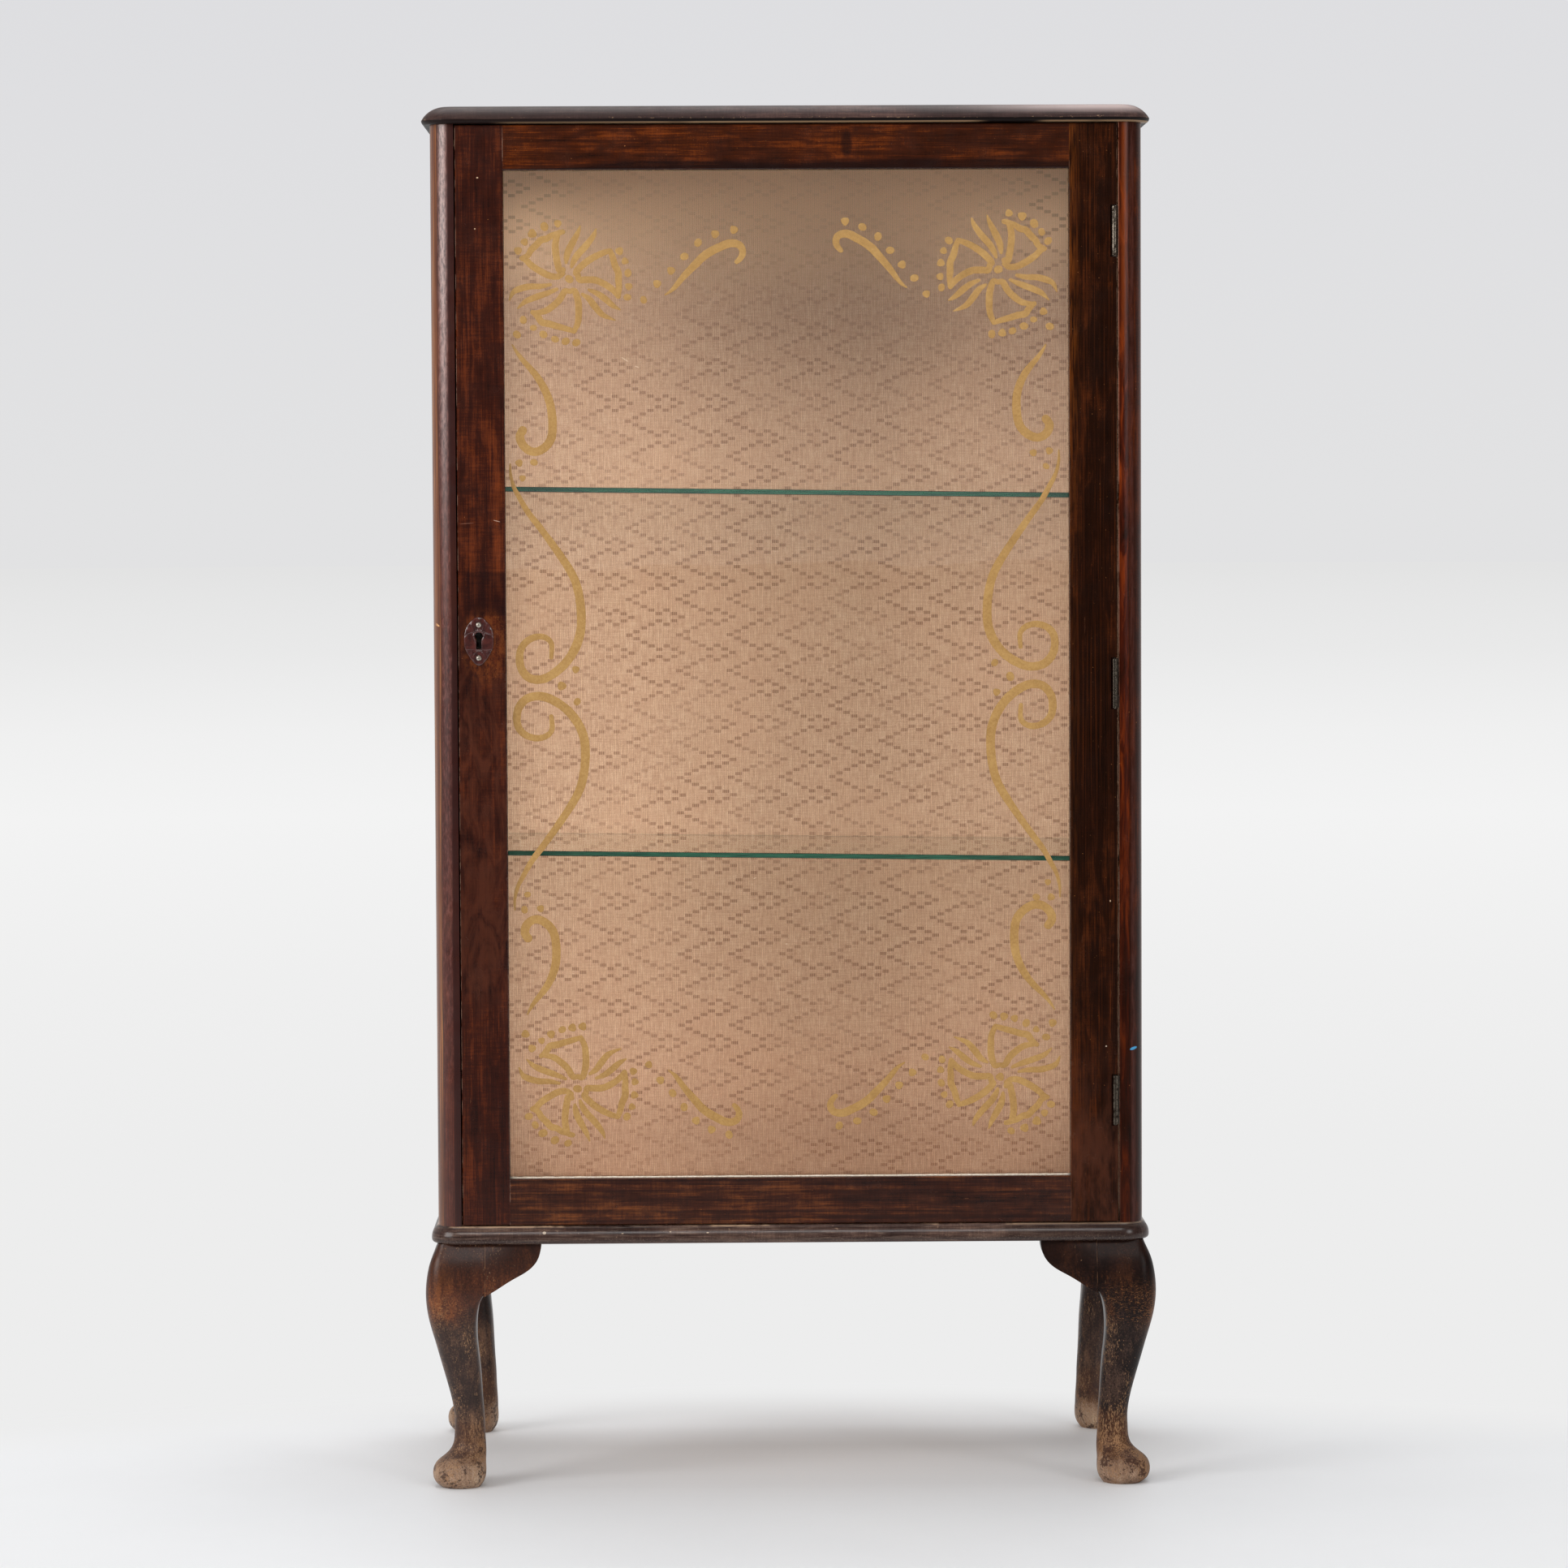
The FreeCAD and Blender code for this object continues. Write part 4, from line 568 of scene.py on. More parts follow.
def fabric(name, is_back, apex):
    """The lining's cloth: fine upright ribs, slubs, and zigzags of small brown dashes."""
    s = Shader(name)
    down_axis = s.z if is_back else s.y
    wander = s.noise(5, detail=2).swing(3.2 * mm)
    wander_down = s.noise(5, (3.3, 1.1, 8.2), detail=2).swing(2.4 * mm)
    across = (s.x - apex[0] + wander) / pattern_step_x
    down = (apex[1] - down_axis + wander_down) / pattern_step_z
    row = s.calc("ROUND", down)
    half_period = pattern_period_z / 2
    level = abs(s.calc("WRAP", row, half_period, -half_period))
    # Each zigzag: where its dashes start, how far it stands off the first, and its rows.
    dashes = []
    for start, offset, last, past in ((5.34, None, 4.6, 4.4), (7.5, 2, 2.4, 2.6)):
        along = s.calc("WRAP", across, start, start - pattern_period_x)
        near = abs(along - (level if offset is None else level + offset))
        dashes.append(near.step(0.48, 0.38) * level.step(last, past))
    dash = s.calc("MAXIMUM", *dashes) * abs(down - row).step(0.49, 0.40)
    ribs = 0.5 + s.calc("SINE", (s.x + wander * 0.4) * (2 * pi / rib_pitch)) * 0.5
    thread = s.noise((420, 420, 1300), detail=3, rough=0.7)
    upright = s.noise((1500, 60, 90), detail=4, rough=0.7)
    slubs = s.noise((60, 60, 1500), (2, 5, 1), detail=3, rough=0.65)
    tone = upright * 0.45 + (slubs * 0.25 + thread * 0.3)
    s.colour = s.ramp(tone, (0.34, (166, 123, 96)), (0.5, (203, 161, 131)), (0.66, (230, 195, 166)))
    s.paint(s.noise(7, (4, 2, 9), detail=2).step(0.42, 0.72) * 0.30, (214, 166, 134))
    dark_dash = (132, 92, 70)
    dash_look = dash * (0.38 + s.noise(14, detail=3).step(0.30, 0.62) * 0.44)
    if is_back:
        # Painted light near the top of the back, and a painted shade band below it; the lining is also darker
        # towards the bottom.
        painted_light_near_top = s.z.step(1.04, 1.165)
        s.paint(s.z.window(0.90, 1.10, 0.09) * 0.12, (150, 112, 88))
        s.paint(s.z.step(0.34, 0.27) * 0.22, (124, 98, 82))
        s.paint(painted_light_near_top * 0.85, (255, 208, 164))
        dark_dash = s.mix(painted_light_near_top * 0.8, dark_dash, (176, 132, 100))
        for px, py, half, tilt in ((930, 1082, 1.6, 30), (1020, 1105, 1.0, 0), (1022, 1150, 1.4, 70),
                                   (770, 443, 4.0, -34), (785, 452, 2.4, -20), (969, 1163, 1.2, 0)):
            s.mark(lining_low.y, px, py, half, mark_w_mm, (240, 214, 184), tilt, 0.8)
        faded = s.z.step(0.98, 1.12) * abs(s.x).step(0.26, 0.18)
        dash_look = dash_look * (1 + faded * -0.8)
    # Painted shade between the ribs and a painted highlight on their crests; the dashes are painted paler on
    # the crests too.
    s.paint(ribs.step(0.35, 0.0) * thread.step(0.30, 0.60) * 0.34, (140, 104, 82))
    s.paint(ribs.step(0.72, 0.98) * upright.step(0.44, 0.60) * 0.35, (236, 196, 160))
    s.paint(dash_look, s.mix(ribs.step(0.25, 0.75), dark_dash, (180, 138, 110)))
    height = ribs * 0.5 + (upright * 0.8 + thread * 0.6)
    normal = s.bump(height - dash * 0.5, 0.22)
    return s.done(s.surface(0.88, normal, Sheen_Weight=0.12, Sheen_Roughness=0.5, Specular_IOR_Level=0.2))


def see_through(s, shader):
    """Lets light pass the glass without a dark shadow behind it."""
    path = s.add("ShaderNodeLightPath")
    clear = s.add("ShaderNodeBsdfTransparent")
    return s.blend(path.outputs["Is Shadow Ray"], shader, clear.outputs[0])


def window_glass(name):
    """Old clear window glass, with a faint unevenness and a little dust."""
    s = Shader(name)
    normal = s.bump(s.noise((9, 9, 5), detail=1), 0.10)
    rough = s.noise(300, detail=3, rough=0.7).step(0.50, 0.90) * 0.05
    glass = s.surface(rough, normal, (253, 254, 252), Transmission_Weight=1.0, IOR=glass_ior)
    return s.done(see_through(s, glass))


def shelf_glass(shelf):
    """Thick shelf glass: clear through its faces, deep green at its edges, with a painted highlight along
    their arrises.
    """
    s = Shader("glass_" + shelf)
    low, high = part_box(shelf)
    slope = (high.z - low.z - shelf_glass_t) / (high.x - low.x)
    level = s.z - (low.z + high.z) / 2 + (s.x - (low.x + high.x) / 2) * slope
    arris = abs(level).step(shelf_glass_t / 2 - 0.55 * mm, shelf_glass_t / 2 - 0.35 * mm)
    geometry = s.add("ShaderNodeNewGeometry")
    edge = abs(s.parts_of(geometry.outputs["True Normal"])[2]).step(0.55, 0.35)
    streak = s.noise((40, 40, 900), detail=3, rough=0.6)
    s.colour = s.ramp(streak, (0.3, (22, 58, 46)), (0.6, (40, 88, 68)), (0.8, (70, 124, 98)))
    # Painted highlight: broken pale lines along the arrises of the edges.
    s.paint(arris * s.noise(30, (2, 2, 4), detail=3).step(0.35, 0.55) * 0.7, (168, 170, 146))
    face = s.surface(0.0, None, (236, 247, 240), Transmission_Weight=1.0, IOR=glass_ior)
    rim = s.surface(0.18, IOR=glass_ior)
    return s.done(see_through(s, s.blend(edge, face, rim)))


def worn_metal(name, bright, dull, seed, rough):
    """Metal gone dull: bright where it is rubbed, brown where it has tarnished."""
    s = Shader("metal_" + name)
    tarnish = s.noise(260, seed, detail=4, rough=0.65).step(0.40, 0.66)
    s.colour = s.mix(tarnish, bright, dull)
    normal = s.bump(s.noise(1600, seed, detail=2), 0.03)
    return s.done(s.surface(rough + tarnish * 0.22, normal, Metallic=1.0))


def moulded_plastic():
    """The keyhole plate's dark plum-brown plastic, with a satin shine."""
    s = Shader("plastic_keyhole_plate")
    s.colour = s.ramp(s.noise(180, detail=3), (0.3, (46, 17, 16)), (0.7, (82, 35, 29)))
    normal = s.bump(s.noise(900, detail=2), 0.04)
    return s.done(s.surface(0.24, normal, Specular_IOR_Level=0.6, Coat_Weight=0.5, Coat_Roughness=0.1))


def gold_paint():
    """Gold paint brushed on glass: streaky, and a little thin in places."""
    s = Shader("paint_gold")
    streaks = s.noise(420, detail=4, rough=0.6, warp=0.8)
    tone = streaks * 0.6 + s.noise(60, detail=2) * 0.4
    s.colour = s.ramp(tone, (0.3, (146, 109, 58)), (0.5, (166, 127, 72)), (0.7, (182, 144, 86)))
    return s.done(s.surface(0.5, s.bump(streaks, 0.06), Specular_IOR_Level=0.3))


def putty_material():
    """Old glazing putty, cream and cracked, with dirt in it."""
    s = Shader("putty_cream")
    grain = s.noise(500, detail=4, rough=0.65)
    s.colour = s.ramp(grain, (0.3, (190, 170, 146)), (0.5, (230, 217, 198)), (0.75, (244, 236, 222)))
    return s.done(s.surface(0.85, s.bump(grain, 0.15)))


def plain_materials():
    """Boards, glass and metal. The metals' rows: name, bright and dull colour, seed and roughness."""
    paint_nodes(["case_top_panel", "base_board"], plywood("plywood_boards", 2.0))
    paint_nodes(["back_panel"], plywood("plywood_back", 6.0))
    paint_nodes(["door_glass"], window_glass("glass_door"))
    paint_nodes(["left_side_glass", "right_side_glass"], window_glass("glass_sides"))
    for shelf in ("upper_shelf", "lower_shelf"):
        paint_nodes([shelf], shelf_glass(shelf))
    leaves = ["hinge_" + place + "_leaf" for place in (
        "top_post", "middle_post", "bottom_post", "top_door", "middle_door", "bottom_door")]
    for names, row in (
            (leaves + ["hinge_pins"], ("hinges", (124, 114, 102), (52, 42, 35), 1.0, 0.2)),
            (["hinge_post_screws", "hinge_door_screws", "upper_shelf_pins", "lower_shelf_pins",
              "strike_screws"], ("brass", (196, 162, 92), (124, 92, 50), 3.0, 0.32)),
            (["lock_case", "lock_cover", "lock_bolt", "lock_screws", "strike_plate", "leg_screws",
              "top_screws", "back_nails"], ("steel", (150, 148, 144), (96, 86, 76), 5.0, 0.36)),
            (["keyhole_plate_pins"], ("plate_pins", (214, 206, 194), (150, 134, 118), 8.0, 0.3))):
        paint_nodes(names, worn_metal(*row))


def link_object(name, data):
    thing = bpy.data.objects.new(name, data)
    bpy.context.scene.collection.objects.link(thing)
    return thing


def make_piece(name, vertices, faces, material, body, slot_name):
    mesh = bpy.data.meshes.new(name)
    mesh.from_pydata(vertices, [], faces)
    mesh.validate()
    for polygon in mesh.polygons:
        polygon.use_smooth = True
    mesh.materials.append(material)
    piece = link_object(name, mesh)
    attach(piece, body)
    return piece


def cloth_grid(low, high, columns, rows, upright, waviness, seed):
    """A closed thin cloth: its showing face uneven by waviness, its other face flat."""
    rng = random.Random(seed)
    waves = [(rng.uniform(2.0, 9.0), rng.uniform(2.0, 9.0), rng.uniform(0, 6.3)) for _ in range(5)]
    size = high - low
    vertices = []
    for is_back in (False, True):
        for j in range(rows + 1):
            for i in range(columns + 1):
                u, v = i / columns, j / rows
                swell = sum(sin(a * 2 * u + b * 2 * v + c) for a, b, c in waves) / len(waves)
                flat_near_edge = min(1.0, min(u, 1 - u, v, 1 - v) * 14)
                sunk = waviness - waviness * (0.5 + 0.5 * swell) * flat_near_edge
                x = low.x + size.x * u
                if upright:
                    vertices.append((x, high.y if is_back else low.y + sunk, low.z + size.z * v))
                else:
                    vertices.append((x, low.y + size.y * v, low.z if is_back else high.z - sunk))

    right, up = 1, columns + 1
    back = up * (rows + 1)
    faces = []
    for j in range(rows):
        for a in range(j * up, j * up + columns):
            faces.append((a, a + right, a + right + up, a + up))
            faces.append((a + back, a + back + up, a + back + right + up, a + back + right))
    for a in range(columns):
        b = a + rows * up
        faces += [(a, a + back, a + back + right, a + right), (b, b + right, b + back + right, b + back)]
    for a in range(0, rows * up, up):
        b = a + columns
        faces += [(a, a + up, a + back + up, a + back), (b, b + back, b + back + up, b + up)]
    return vertices, faces


def make_linings():
    apex = photo_point(*pattern_apex_px, lining_low.y)
    cloth = fabric("fabric_back", True, (apex.x, apex.z))
    grid = cloth_grid(lining_low, lining_high, 70, 110, True, waviness=0.35 * mm, seed=11)
    back = make_piece("back_lining_cloth", *grid, cloth, "case", "lining")
    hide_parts("back_lining")
    under = fabric("fabric_floor", False, (apex.x, floor_lining_high.y))
    grid = cloth_grid(floor_lining_low, floor_lining_high, 70, 40, False, waviness=0.3 * mm, seed=12)
    floor = make_piece("floor_lining_cloth", *grid, under, "case", "lining")
    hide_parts("floor_lining")


# The painted ornament, traced on the upper right quarter. A group's middle is a pixel of the
# photograph. From there, in tenths of a pixel, its dots go x, y, radius, and a stroke's points x, y.
# A stroke starts with its widths in pixels at its start, its middle and its end.
petal, leaf, thin_leaf = (4, 6.5, 4), (0, 6.5, 2), (0, 6, 2)
groups = {
    "flower": {"middle": (1230, 332), "dots": [
        0, 0, 52, 132, -696, 46, 294, -657, 53, 442, -567, 55, 535, -462, 46, 614, -352, 49, -608, -357, 49,
        -674, -232, 43, -708, -82, 48, -717, 87, 45, -699, 222, 46, -79, 796, 50, 49, 781, 50, 176, 756, 46,
        316, 697, 50, 436, 615, 42, 557, 517, 48, 635, 701, 50], "strokes": [
        ((5, 6.5, 4), [74, -115, 115, -105, 135, -177, 158, -315, 162, -441, 132, -565, 70, -592]),
        (petal, [70, -592, 199, -550, 267, -504, 336, -487, 394, -424, 457, -361, 497, -292, 570, -257]),
        (petal, [570, -257, 520, -235, 451, -166, 348, -97, 233, -39, 135, -32, 74, -70]),
        (petal, [-496, -361, -525, -281, -553, -177, -593, -85, -593, 18, -599, 98, -591, 215]),
        ((4, 6.5, 5), [-496, -361, -410, -332, -306, -281, -203, -212, -123, -137, -83, -85, -106, -54]),
        ((5, 6.5, 4), [-106, -54, -123, 6, -203, 6, -318, 12, -433, 64, -525, 133, -591, 215]),
        (petal, [-8, 156, -65, 150, -106, 282, -111, 420, -100, 546, -54, 655]),
        (petal, [-54, 655, 49, 621, 153, 592, 245, 563, 331, 546, 371, 489, 417, 437, 445, 420]),
        (petal, [-8, 156, 55, 156, 118, 259, 199, 339, 290, 402, 405, 425]),
        (leaf, [-327, -631, -295, -545, -203, -418, -111, -315, -54, -223, -29, -154]),
        (leaf, [-137, -665, -100, -567, -42, -453, 9, -349, 29, -269, 36, -206]),
        (thin_leaf, [-611, 379, -525, 328, -433, 247, -341, 179, -238, 133]),
        (leaf, [-547, 511, -398, 443, -306, 339, -238, 247, -157, 190]),
        (thin_leaf, [721, 270, 681, 179, 612, 133, 486, 98, 348, 93, 227, 70]),
        (thin_leaf, [623, 374, 532, 288, 405, 230, 267, 179, 147, 127])]},
    "short": {"middle": (1080, 320), "dots": [
        -388, -474, 50, -174, -404, 50, 18, -287, 50, 168, -116, 50, 313, 60, 50, 467, 225, 50,
        614, 421, 46], "strokes": [
        ((4, 8.4, 0), [-439, -114, -484, -168, -502, -230, -475, -293, -412, -320, -332, -311, -243, -266,
        -136, -204, -46, -132, 25, -52, 96, 29, 177, 127, 248, 225, 302, 288, 369, 341])]},
    "hook": {"middle": (1270, 480), "dots": [], "strokes": [
        ((0, 8.6, 8.5), [184, -555, 138, -470, 77, -385, 4, -300, -68, -203, -129, -82, -168, 51, -177, 173,
        -171, 294, -141, 427, -68, 524, 41, 585, 138, 578, 210, 512, 229, 427, 186, 360])]},
    "scroll": {"middle": (1260, 700), "dots": [
        132, -1422, 45, 329, -1446, 46, 290, -1256, 40, -344, 1165, 46], "strokes": [
        ((0, 9.2, 3.4), [447, -1453, 445, -1318, 408, -1166, 332, -1015, 235, -841, 94, -646, -58, -429, -188,
        -234, -307, -39, -383, 135, -427, 351, -437, 568, -416, 742, -340, 915, -210, 1067, -36, 1175, 116,
        1212, 267, 1175, 365, 1067, 397, 937, 376, 807, 289, 720, 159, 688, 40, 720, -32, 807, -25, 969])]}}
middle_dot = [-153, 1334, 55]
spread_px = 2.0

# The painter's hand set each group down a little differently in each quarter: where its middle
# went, and how far one pixel across and one pixel down go there.
quarter_maps = {
    "upper_left": {
        "flower": (701.3, 343.9, -1.023, 0.008, -0.008, 0.982),
        "short": (860.5, 330.3, -1.066, -0.050, -0.105, 1.082),
        "hook": (658.6, 489.1, -1.057, 0.143, -0.017, 1.149),
        "scroll": (674.2, 712.1, -0.924, 0.029, 0.162, 1.016)},
    "lower_left": {
        "flower": (711.6, 1341.5, -0.989, -0.019, 0.002, -0.964),
        "short": (860.4, 1351.9, -1.018, 0.033, 0.032, -1.000),
        "hook": (668.3, 1193.2, -0.964, 0.010, -0.008, -1.022),
        "scroll": (677.8, 978.8, -1.007, -0.011, -0.049, -0.994)},
    "lower_right": {
        "flower": (1232.2, 1326.8, 1.022, -0.002, 0.005, -0.954),
        "short": (1075.4, 1341.3, 1.031, 0.029, 0.060, -1.012),
        "hook": (1272.6, 1181.4, 1.189, -0.087, -0.045, -1.130),
        "scroll": (1262.0, 964.9, 0.927, -0.018, -0.115, -0.997)},
    "upper_right": {name: (*group["middle"], 1.0, 0.0, 0.0, 1.0) for name, group in groups.items()}}

paint_lift = 0.05 * mm
paint_thickness = 0.16 * mm
blob_sides = 16
curve_steps = 6
# A brush stroke's section: how far across it is, and how much of its thickness it has there.
stroke_section = ((-1.0, 0.0), (-0.72, 0.75), (0.0, 1.0), (0.72, 0.75), (1.0, 0.0))
round_end_shares = (0.3, 0.6, 0.85, 1.0)


def smooth_line(points, steps):
    """Points along a smooth curve through the given points, each a tuple of equal length."""
    padded = [points[0], *points, points[-1]]
    line = []
    for k in range(1, len(padded) - 2):
        for step in range(steps):
            t = step / steps
            line.append(tuple(
                0.5 * (2 * b + (c - a) * t + (2 * a - 5 * b + 4 * c - d) * t ** 2
                       + (3 * b - a - 3 * c + d) * t ** 3)
                for a, b, c, d in zip(*padded[k - 1:k + 3])))
    return line + [points[-1]]


def stroke_width(widths, share):
    """Width at a share of a stroke's length: start, middle and end widths, swelling softly."""
    start, middle, end = widths
    nearest = start if share < 0.5 else end
    return nearest + (middle - nearest) * sin(pi * share) ** 0.8


def add_ribbon(vertices, faces, line, rng):
    """A brush stroke on the glass: line holds (x, z, half width) from one end to the other."""
    ends = []
    for (x, z, half), (near_x, near_z, _) in ((line[0], line[1]), (line[-1], line[-2])):
        out = Vector((x - near_x, z - near_z)).normalized()
        ends.append([(x + out.x * half * share, z + out.y * half * share,
                      half * sqrt(max(0.0, 1 - share ** 2))) for share in round_end_shares])
    rounded = ends[0][::-1] + line + ends[1]
    start, width = len(vertices), len(stroke_section)
    for k, (x, z, half) in enumerate(rounded):
        here, there = rounded[max(k - 1, 0)], rounded[min(k + 1, len(rounded) - 1)]
        along = Vector((there[0] - here[0], there[1] - here[1])).normalized()
        half = max(half + rng.uniform(-0.12, 0.12) * mm * min(1.0, half / mm), 0.05 * mm)
        for place, lift in stroke_section:
            height = paint_lift + paint_thickness * lift * min(1.0, half / (1.5 * mm))
            vertices.append((x - along.y * half * place, glass_front - height, z + along.x * half * place))
    for k in range(len(rounded) - 1):
        for a in range(start + k * width, start + (k + 1) * width - 1):
            faces.append((a, a + 1, a + 1 + width, a + width))


def add_blob(vertices, faces, x, z, radius, rng):
    """A dot of paint, a little uneven all round."""
    centre = len(vertices)
    phase, lobes = rng.uniform(0, 6.28), rng.choice((2, 3))
    vertices.append((x, glass_front - paint_lift - paint_thickness, z))
    for ring, lift in ((0.6, 0.9), (0.88, 0.6), (1.0, 0.0)):
        for k in range(blob_sides):
            angle = 2 * pi * k / blob_sides
            reach = radius * ring * (1 + 0.09 * sin(lobes * angle + phase))
            vertices.append((x + reach * cos(angle), glass_front - paint_lift - paint_thickness * lift,
                             z + reach * sin(angle)))
    for k in range(blob_sides):
        a, b = centre + 1 + k, centre + 1 + (k + 1) % blob_sides
        faces.append((centre, a, b))
        for c, d in ((a, b), (a + blob_sides, b + blob_sides)):
            faces.append((c, c + blob_sides, d + blob_sides, d))


def make_ornament():
    gold = gold_paint()
    scale = abs(photo_point(1001, 831, glass_front).x - photo_point(1000, 831, glass_front).x)
    for quarter, maps in quarter_maps.items():
        rng = random.Random(quarter)
        vertices, faces = [], []
        for name, group in groups.items():
            to_x, to_y, x_by_x, x_by_y, y_by_x, y_by_y = maps[name]

            def placed(right, down):
                right, down = right / 10, down / 10
                point = photo_point(to_x + x_by_x * right + x_by_y * down,
                                    to_y + y_by_x * right + y_by_y * down, glass_front)
                return point.x, point.z
            for widths, points in group["strokes"]:
                last = len(points) // 2 - 1
                widened = [(*placed(*points[2 * k:2 * k + 2]),
                            (stroke_width(widths, k / last) + spread_px) * scale / 2)
                           for k in range(last + 1)]
                add_ribbon(vertices, faces, smooth_line(widened, curve_steps), rng)
            dots = group["dots"] + (middle_dot if name == "scroll" and quarter.startswith("upper") else [])
            for right, down, radius in zip(dots[::3], dots[1::3], dots[2::3]):
                add_blob(vertices, faces, *placed(right, down), radius / 10 * scale, rng)
        make_piece("gold_ornament_" + quarter, vertices, faces, gold, "door", "gold_paint")


# The keyhole plate, in mm from its middle: its half widths going down, the keyhole, the eye that
# its rings go round, and how far up and down its pins are.
plate_outline = [
    (21.5, 0.0), (20.7, 3.3), (18.6, 6.1), (16.4, 8.0), (14.2, 9.8), (11.9, 11.2), (9.7, 12.0), (6.4, 12.7),
    (3.0, 13.0), (-0.3, 13.0), (-3.7, 12.8), (-7.0, 12.0), (-10.4, 10.3), (-12.6, 8.9), (-14.8, 7.6),
    (-17.1, 5.8), (-19.3, 3.9), (-20.6, 2.4), (-21.5, 0.0)]
plate_sides, plate_rings = 240, 40
keyhole_round, keyhole_round_up = 3.7, 4.3
keyhole_slot, keyhole_foot = 2.3, -7.0
plate_eye_up = 1.6
plate_pin_up = 14.6


def in_plate(x, up):
    for (above, wide), (below, narrow) in zip(plate_outline, plate_outline[1:]):
        if below <= up <= above:
            return abs(x) < narrow + (wide - narrow) * (up - below) / (above - below)
    return False


def in_keyhole(x, up):
    in_round = hypot(x, up - keyhole_round_up) < keyhole_round
    return in_round or (abs(x) < keyhole_slot and keyhole_foot < up < keyhole_round_up)


def plate_place(angle, reach):
    return reach * cos(angle), plate_eye_up + reach * sin(angle)


def reach_of(inside, angle, limit):
    """How far from the plate's eye the shape named by inside goes at this angle, in mm."""
    near, far = 0.0, limit
    for _ in range(26):
        half = (near + far) / 2
        near, far = (half, far) if inside(*plate_place(angle, half)) else (near, half)
    return near


def groove(distance, depth, width):
    return -depth * exp(-(distance / width) ** 2)


def plate_lift(x, up, share):
    """Height of the plate's face above its back, in mm: a dome with a rim, fan ribs and grooves."""
    lift = 0.7 + 1.25 * sqrt(max(0.0, 1 - share ** 2.4)) - groove(share - 0.09, 0.42, 0.055)
    fan = atan2(x, up + 2.0)
    near_edge = min(1.0, (1 - share) * 5)
    if up > 8.6:
        lift += 0.22 * cos(fan * 20) * min(1.0, (up - 8.6) / 1.5) * near_edge
    lift += groove(up - 8.3 + 0.022 * x * x, 0.42, 0.42)
    lift += groove(up + 7.7, 0.30, 0.38) + groove(up + 9.1, 0.24, 0.38)
    if up < -10:
        lift += 0.16 * cos(fan * 18) * near_edge
    for pin_up in (plate_pin_up, -plate_pin_up):
        lift += groove(hypot(x, up - pin_up), 0.35, 2.4)
    return max(lift, 0.5)


def make_keyhole_plate():
    """The moulded plate round the keyhole, with its relief, and its flat back."""
    low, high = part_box("keyhole_plate")
    middle = (low + high) / 2
    spokes = []
    for k in range(plate_sides):
        angle = 2 * pi * (k + 0.5) / plate_sides
        spokes.append((angle, reach_of(in_keyhole, angle, 12.0), reach_of(in_plate, angle, 26.0)))
    # Rings from the keyhole out over the face, then the outer and the inner edge of the back.
    rings = [(ring / plate_rings, True) for ring in range(plate_rings + 1)] + [(1, False), (0, False)]
    vertices, faces = [], []
    for share, on_face in rings:
        for angle, inner, outer in spokes:
            x, up = plate_place(angle, inner + (outer - inner) * share)
            lift = plate_lift(x, up, share) * mm if on_face else 0.0
            vertices.append((middle.x + x * mm, high.y - lift, middle.z + up * mm))
    for row in range(len(rings)):
        a, b = row * plate_sides, (row + 1) % len(rings) * plate_sides
        for k in range(plate_sides):
            j = (k + 1) % plate_sides
            faces.append((a + k, a + j, b + j, b + k))
    plate = make_piece("keyhole_plate_relief", vertices, faces, moulded_plastic(), "door", "keyhole_plastic")
    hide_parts("keyhole_plate")


putty_height = 1.15 * mm
putty_depth = 2.0 * mm
putty_skin = 0.05 * mm
putty_steps = 160


def make_putty():
    """A thin uneven line of putty under the glass, along the bottom rail."""
    rng = random.Random(5)
    behind = glass_front - putty_skin
    vertices, faces = [], []
    for k in range(putty_steps + 1):
        x = stile_high.x - 2 * stile_high.x * k / putty_steps
        top = sight_low + putty_height * (1 + rng.uniform(-0.14, 0.10))
        front = glass_front - putty_depth * (1 + rng.uniform(-0.12, 0.10))
        vertices += [(x, behind, sight_low), (x, front, sight_low + putty_skin),
                     (x, front + 0.5 * mm, top - 0.4 * mm), (x, behind, top)]
    for a in range(0, putty_steps * 4, 4):
        for i, j in ((0, 1), (1, 2), (2, 3), (3, 0)):
            faces.append((a + i, a + 4 + i, a + 4 + j, a + j))
    last = putty_steps * 4
    faces += [(0, 1, 2, 3), (last + 3, last + 2, last + 1, last)]
    make_piece("putty_line", vertices, faces, putty_material(), "door", "putty")


floor_radius = 70.0
floor_sides = 160
floor_near, floor_far = 0.42, 1.25
reflected_floor_level = 0.10
grey_by_distance = [(1.0, 237), (2.5, 237), (5.0, 239), (10.2, 243), (15.5, 240), (27.0, 233), (65.0, 227)]


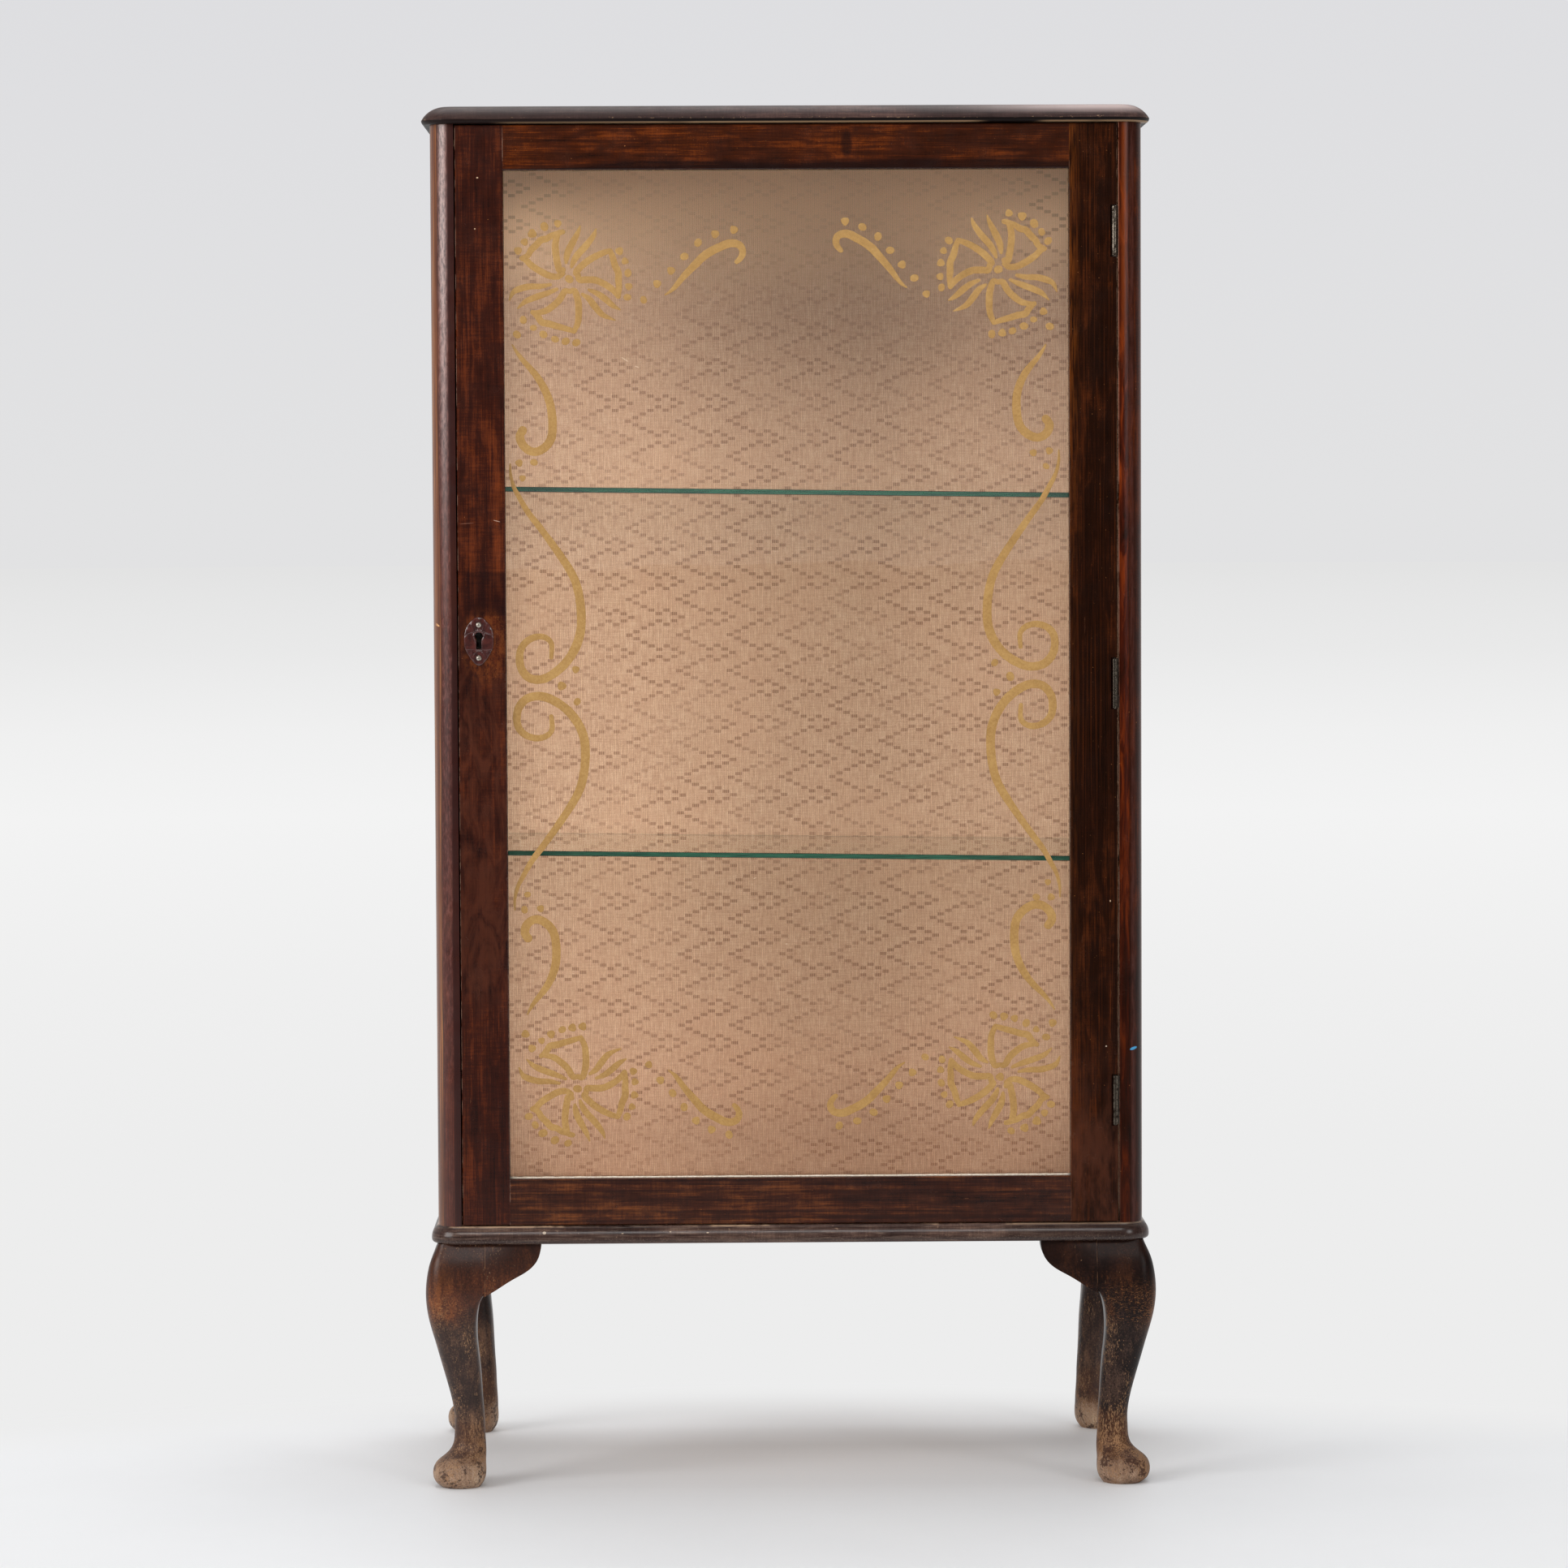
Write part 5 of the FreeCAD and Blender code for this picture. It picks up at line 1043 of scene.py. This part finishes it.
def make_stage():
    """A pale floor that keeps the shadow near the cabinet and runs into an even pale ground."""
    angles = [2 * pi * k / floor_sides for k in range(floor_sides)]
    ring = [(floor_radius * cos(angle), floor_radius * sin(angle), 0.0) for angle in angles]
    mesh = bpy.data.meshes.new("studio_floor")
    mesh.from_pydata(ring, [], [tuple(range(floor_sides))])
    floor = link_object("studio_floor", mesh)
    s = Shader("floor_pale")
    flat = s.add("ShaderNodeCombineXYZ", [s.x, s.y])
    length = s.add("ShaderNodeVectorMath", [flat.outputs[0]], operation="LENGTH")
    distance = Value(s, length.outputs["Value"])
    half_powers = s.calc("LOGARITHM", s.calc("MAXIMUM", distance, 1), 10) / 2
    ground = s.ramp(half_powers, *[(log10(metres) / 2, triple(grey)) for metres, grey in grey_by_distance])
    s.colour = s.mix(s.noise(3, detail=4, rough=0.6), (230, 231, 233), (238, 239, 241))
    lit = s.surface(0.55, Specular_IOR_Level=0.3)
    path = s.add("ShaderNodeLightPath")
    mirrored = Value(s, path.outputs["Is Glossy Ray"]) * s.y.step(-0.7, -2.4)
    strength = 1 - mirrored * (1 - reflected_floor_level)
    glow = s.add("ShaderNodeEmission", {"Color": ground, "Strength": strength})
    share = (distance + s.calc("MAXIMUM", s.y, 0) * 2.2).step(floor_near, floor_far)
    mesh.materials.append(s.done(s.blend(share, lit, glow.outputs[0])))


ambient_level, ambient_front = 0.38, 0.95
mirrored_level, mirrored_front = 0.75, 0.02


def make_world():
    """Soft even light from all round, and a pale ground where the camera or glass looks past the floor."""
    world = bpy.data.worlds.new("studio")
    bpy.context.scene.world = world
    s = Shader("studio", world, "Generated")
    sky = s.ramp(s.z, (0, (226, 226, 227)), (0.12, (221, 221, 224)))

    def background(**values):
        return s.add("ShaderNodeBackground", values).outputs[0]

    def from_front(start, end, front, back, curve):
        limits = {"Value": s.y, "From Min": start, "From Max": end, "To Min": front, "To Max": back}
        return s.add("ShaderNodeMapRange", limits, interpolation_type=curve).outputs[0]

    mirrored = from_front(-0.35, 0.75, mirrored_front, mirrored_level, "SMOOTHSTEP")
    ambient = from_front(-1.0, 0.0, ambient_front, ambient_level, "LINEAR")
    path = s.add("ShaderNodeLightPath").outputs
    seen = s.calc("MAXIMUM", path["Is Camera Ray"], path["Is Transmission Ray"])
    soft = s.blend(path["Is Glossy Ray"], background(Strength=ambient), background(Strength=mirrored))
    s.done(s.blend(seen, soft, background(Color=sky)), "ShaderNodeOutputWorld")


def make_lamps():
    """Four softboxes: the name, the place, what it aims at, width, height and watts."""
    for name, place, aim, width, height, watts in (
            ("left_softbox", (-2.7, -1.9, 1.8), (0, 0, 0.8), 1.7, 1.7, 54),
            ("right_softbox", (2.4, -2.9, 1.6), (0, 0, 0.8), 1.0, 1.5, 22),
            ("overhead_softbox", (0, 0.7, 3.1), (0, 0.1, 0), 2.4, 2.0, 50),
            ("front_high_softbox", (0, -3.1, 3.0), (0, 0, 0.6), 2.4, 0.9, 32)):
        light = bpy.data.lights.new(name, "AREA")
        light.shape = "RECTANGLE"
        light.size, light.size_y, light.energy = width, height, watts
        lamp = link_object(name, light)
        lamp.location = place
        lamp.rotation_euler = (Vector(aim) - Vector(place)).to_track_quat("-Z", "Y").to_euler()


def make_camera():
    lens = bpy.data.cameras.new("photo_camera")
    lens.sensor_width = sensor_width
    lens.sensor_fit = "HORIZONTAL"
    lens.lens = focal_length_px / photo_size * sensor_width
    lens.clip_start, lens.clip_end = 0.05, 300.0
    camera = link_object("photo_camera", lens)
    camera.location, camera.rotation_euler = camera_place, camera_turn
    bpy.context.scene.camera = camera


case_wood_materials()
leg_materials()
plain_materials()
make_linings()
make_ornament()
make_keyhole_plate()
make_putty()
make_stage()
make_world()
make_lamps()
make_camera()
bpy.context.scene.view_settings.view_transform = "Standard"
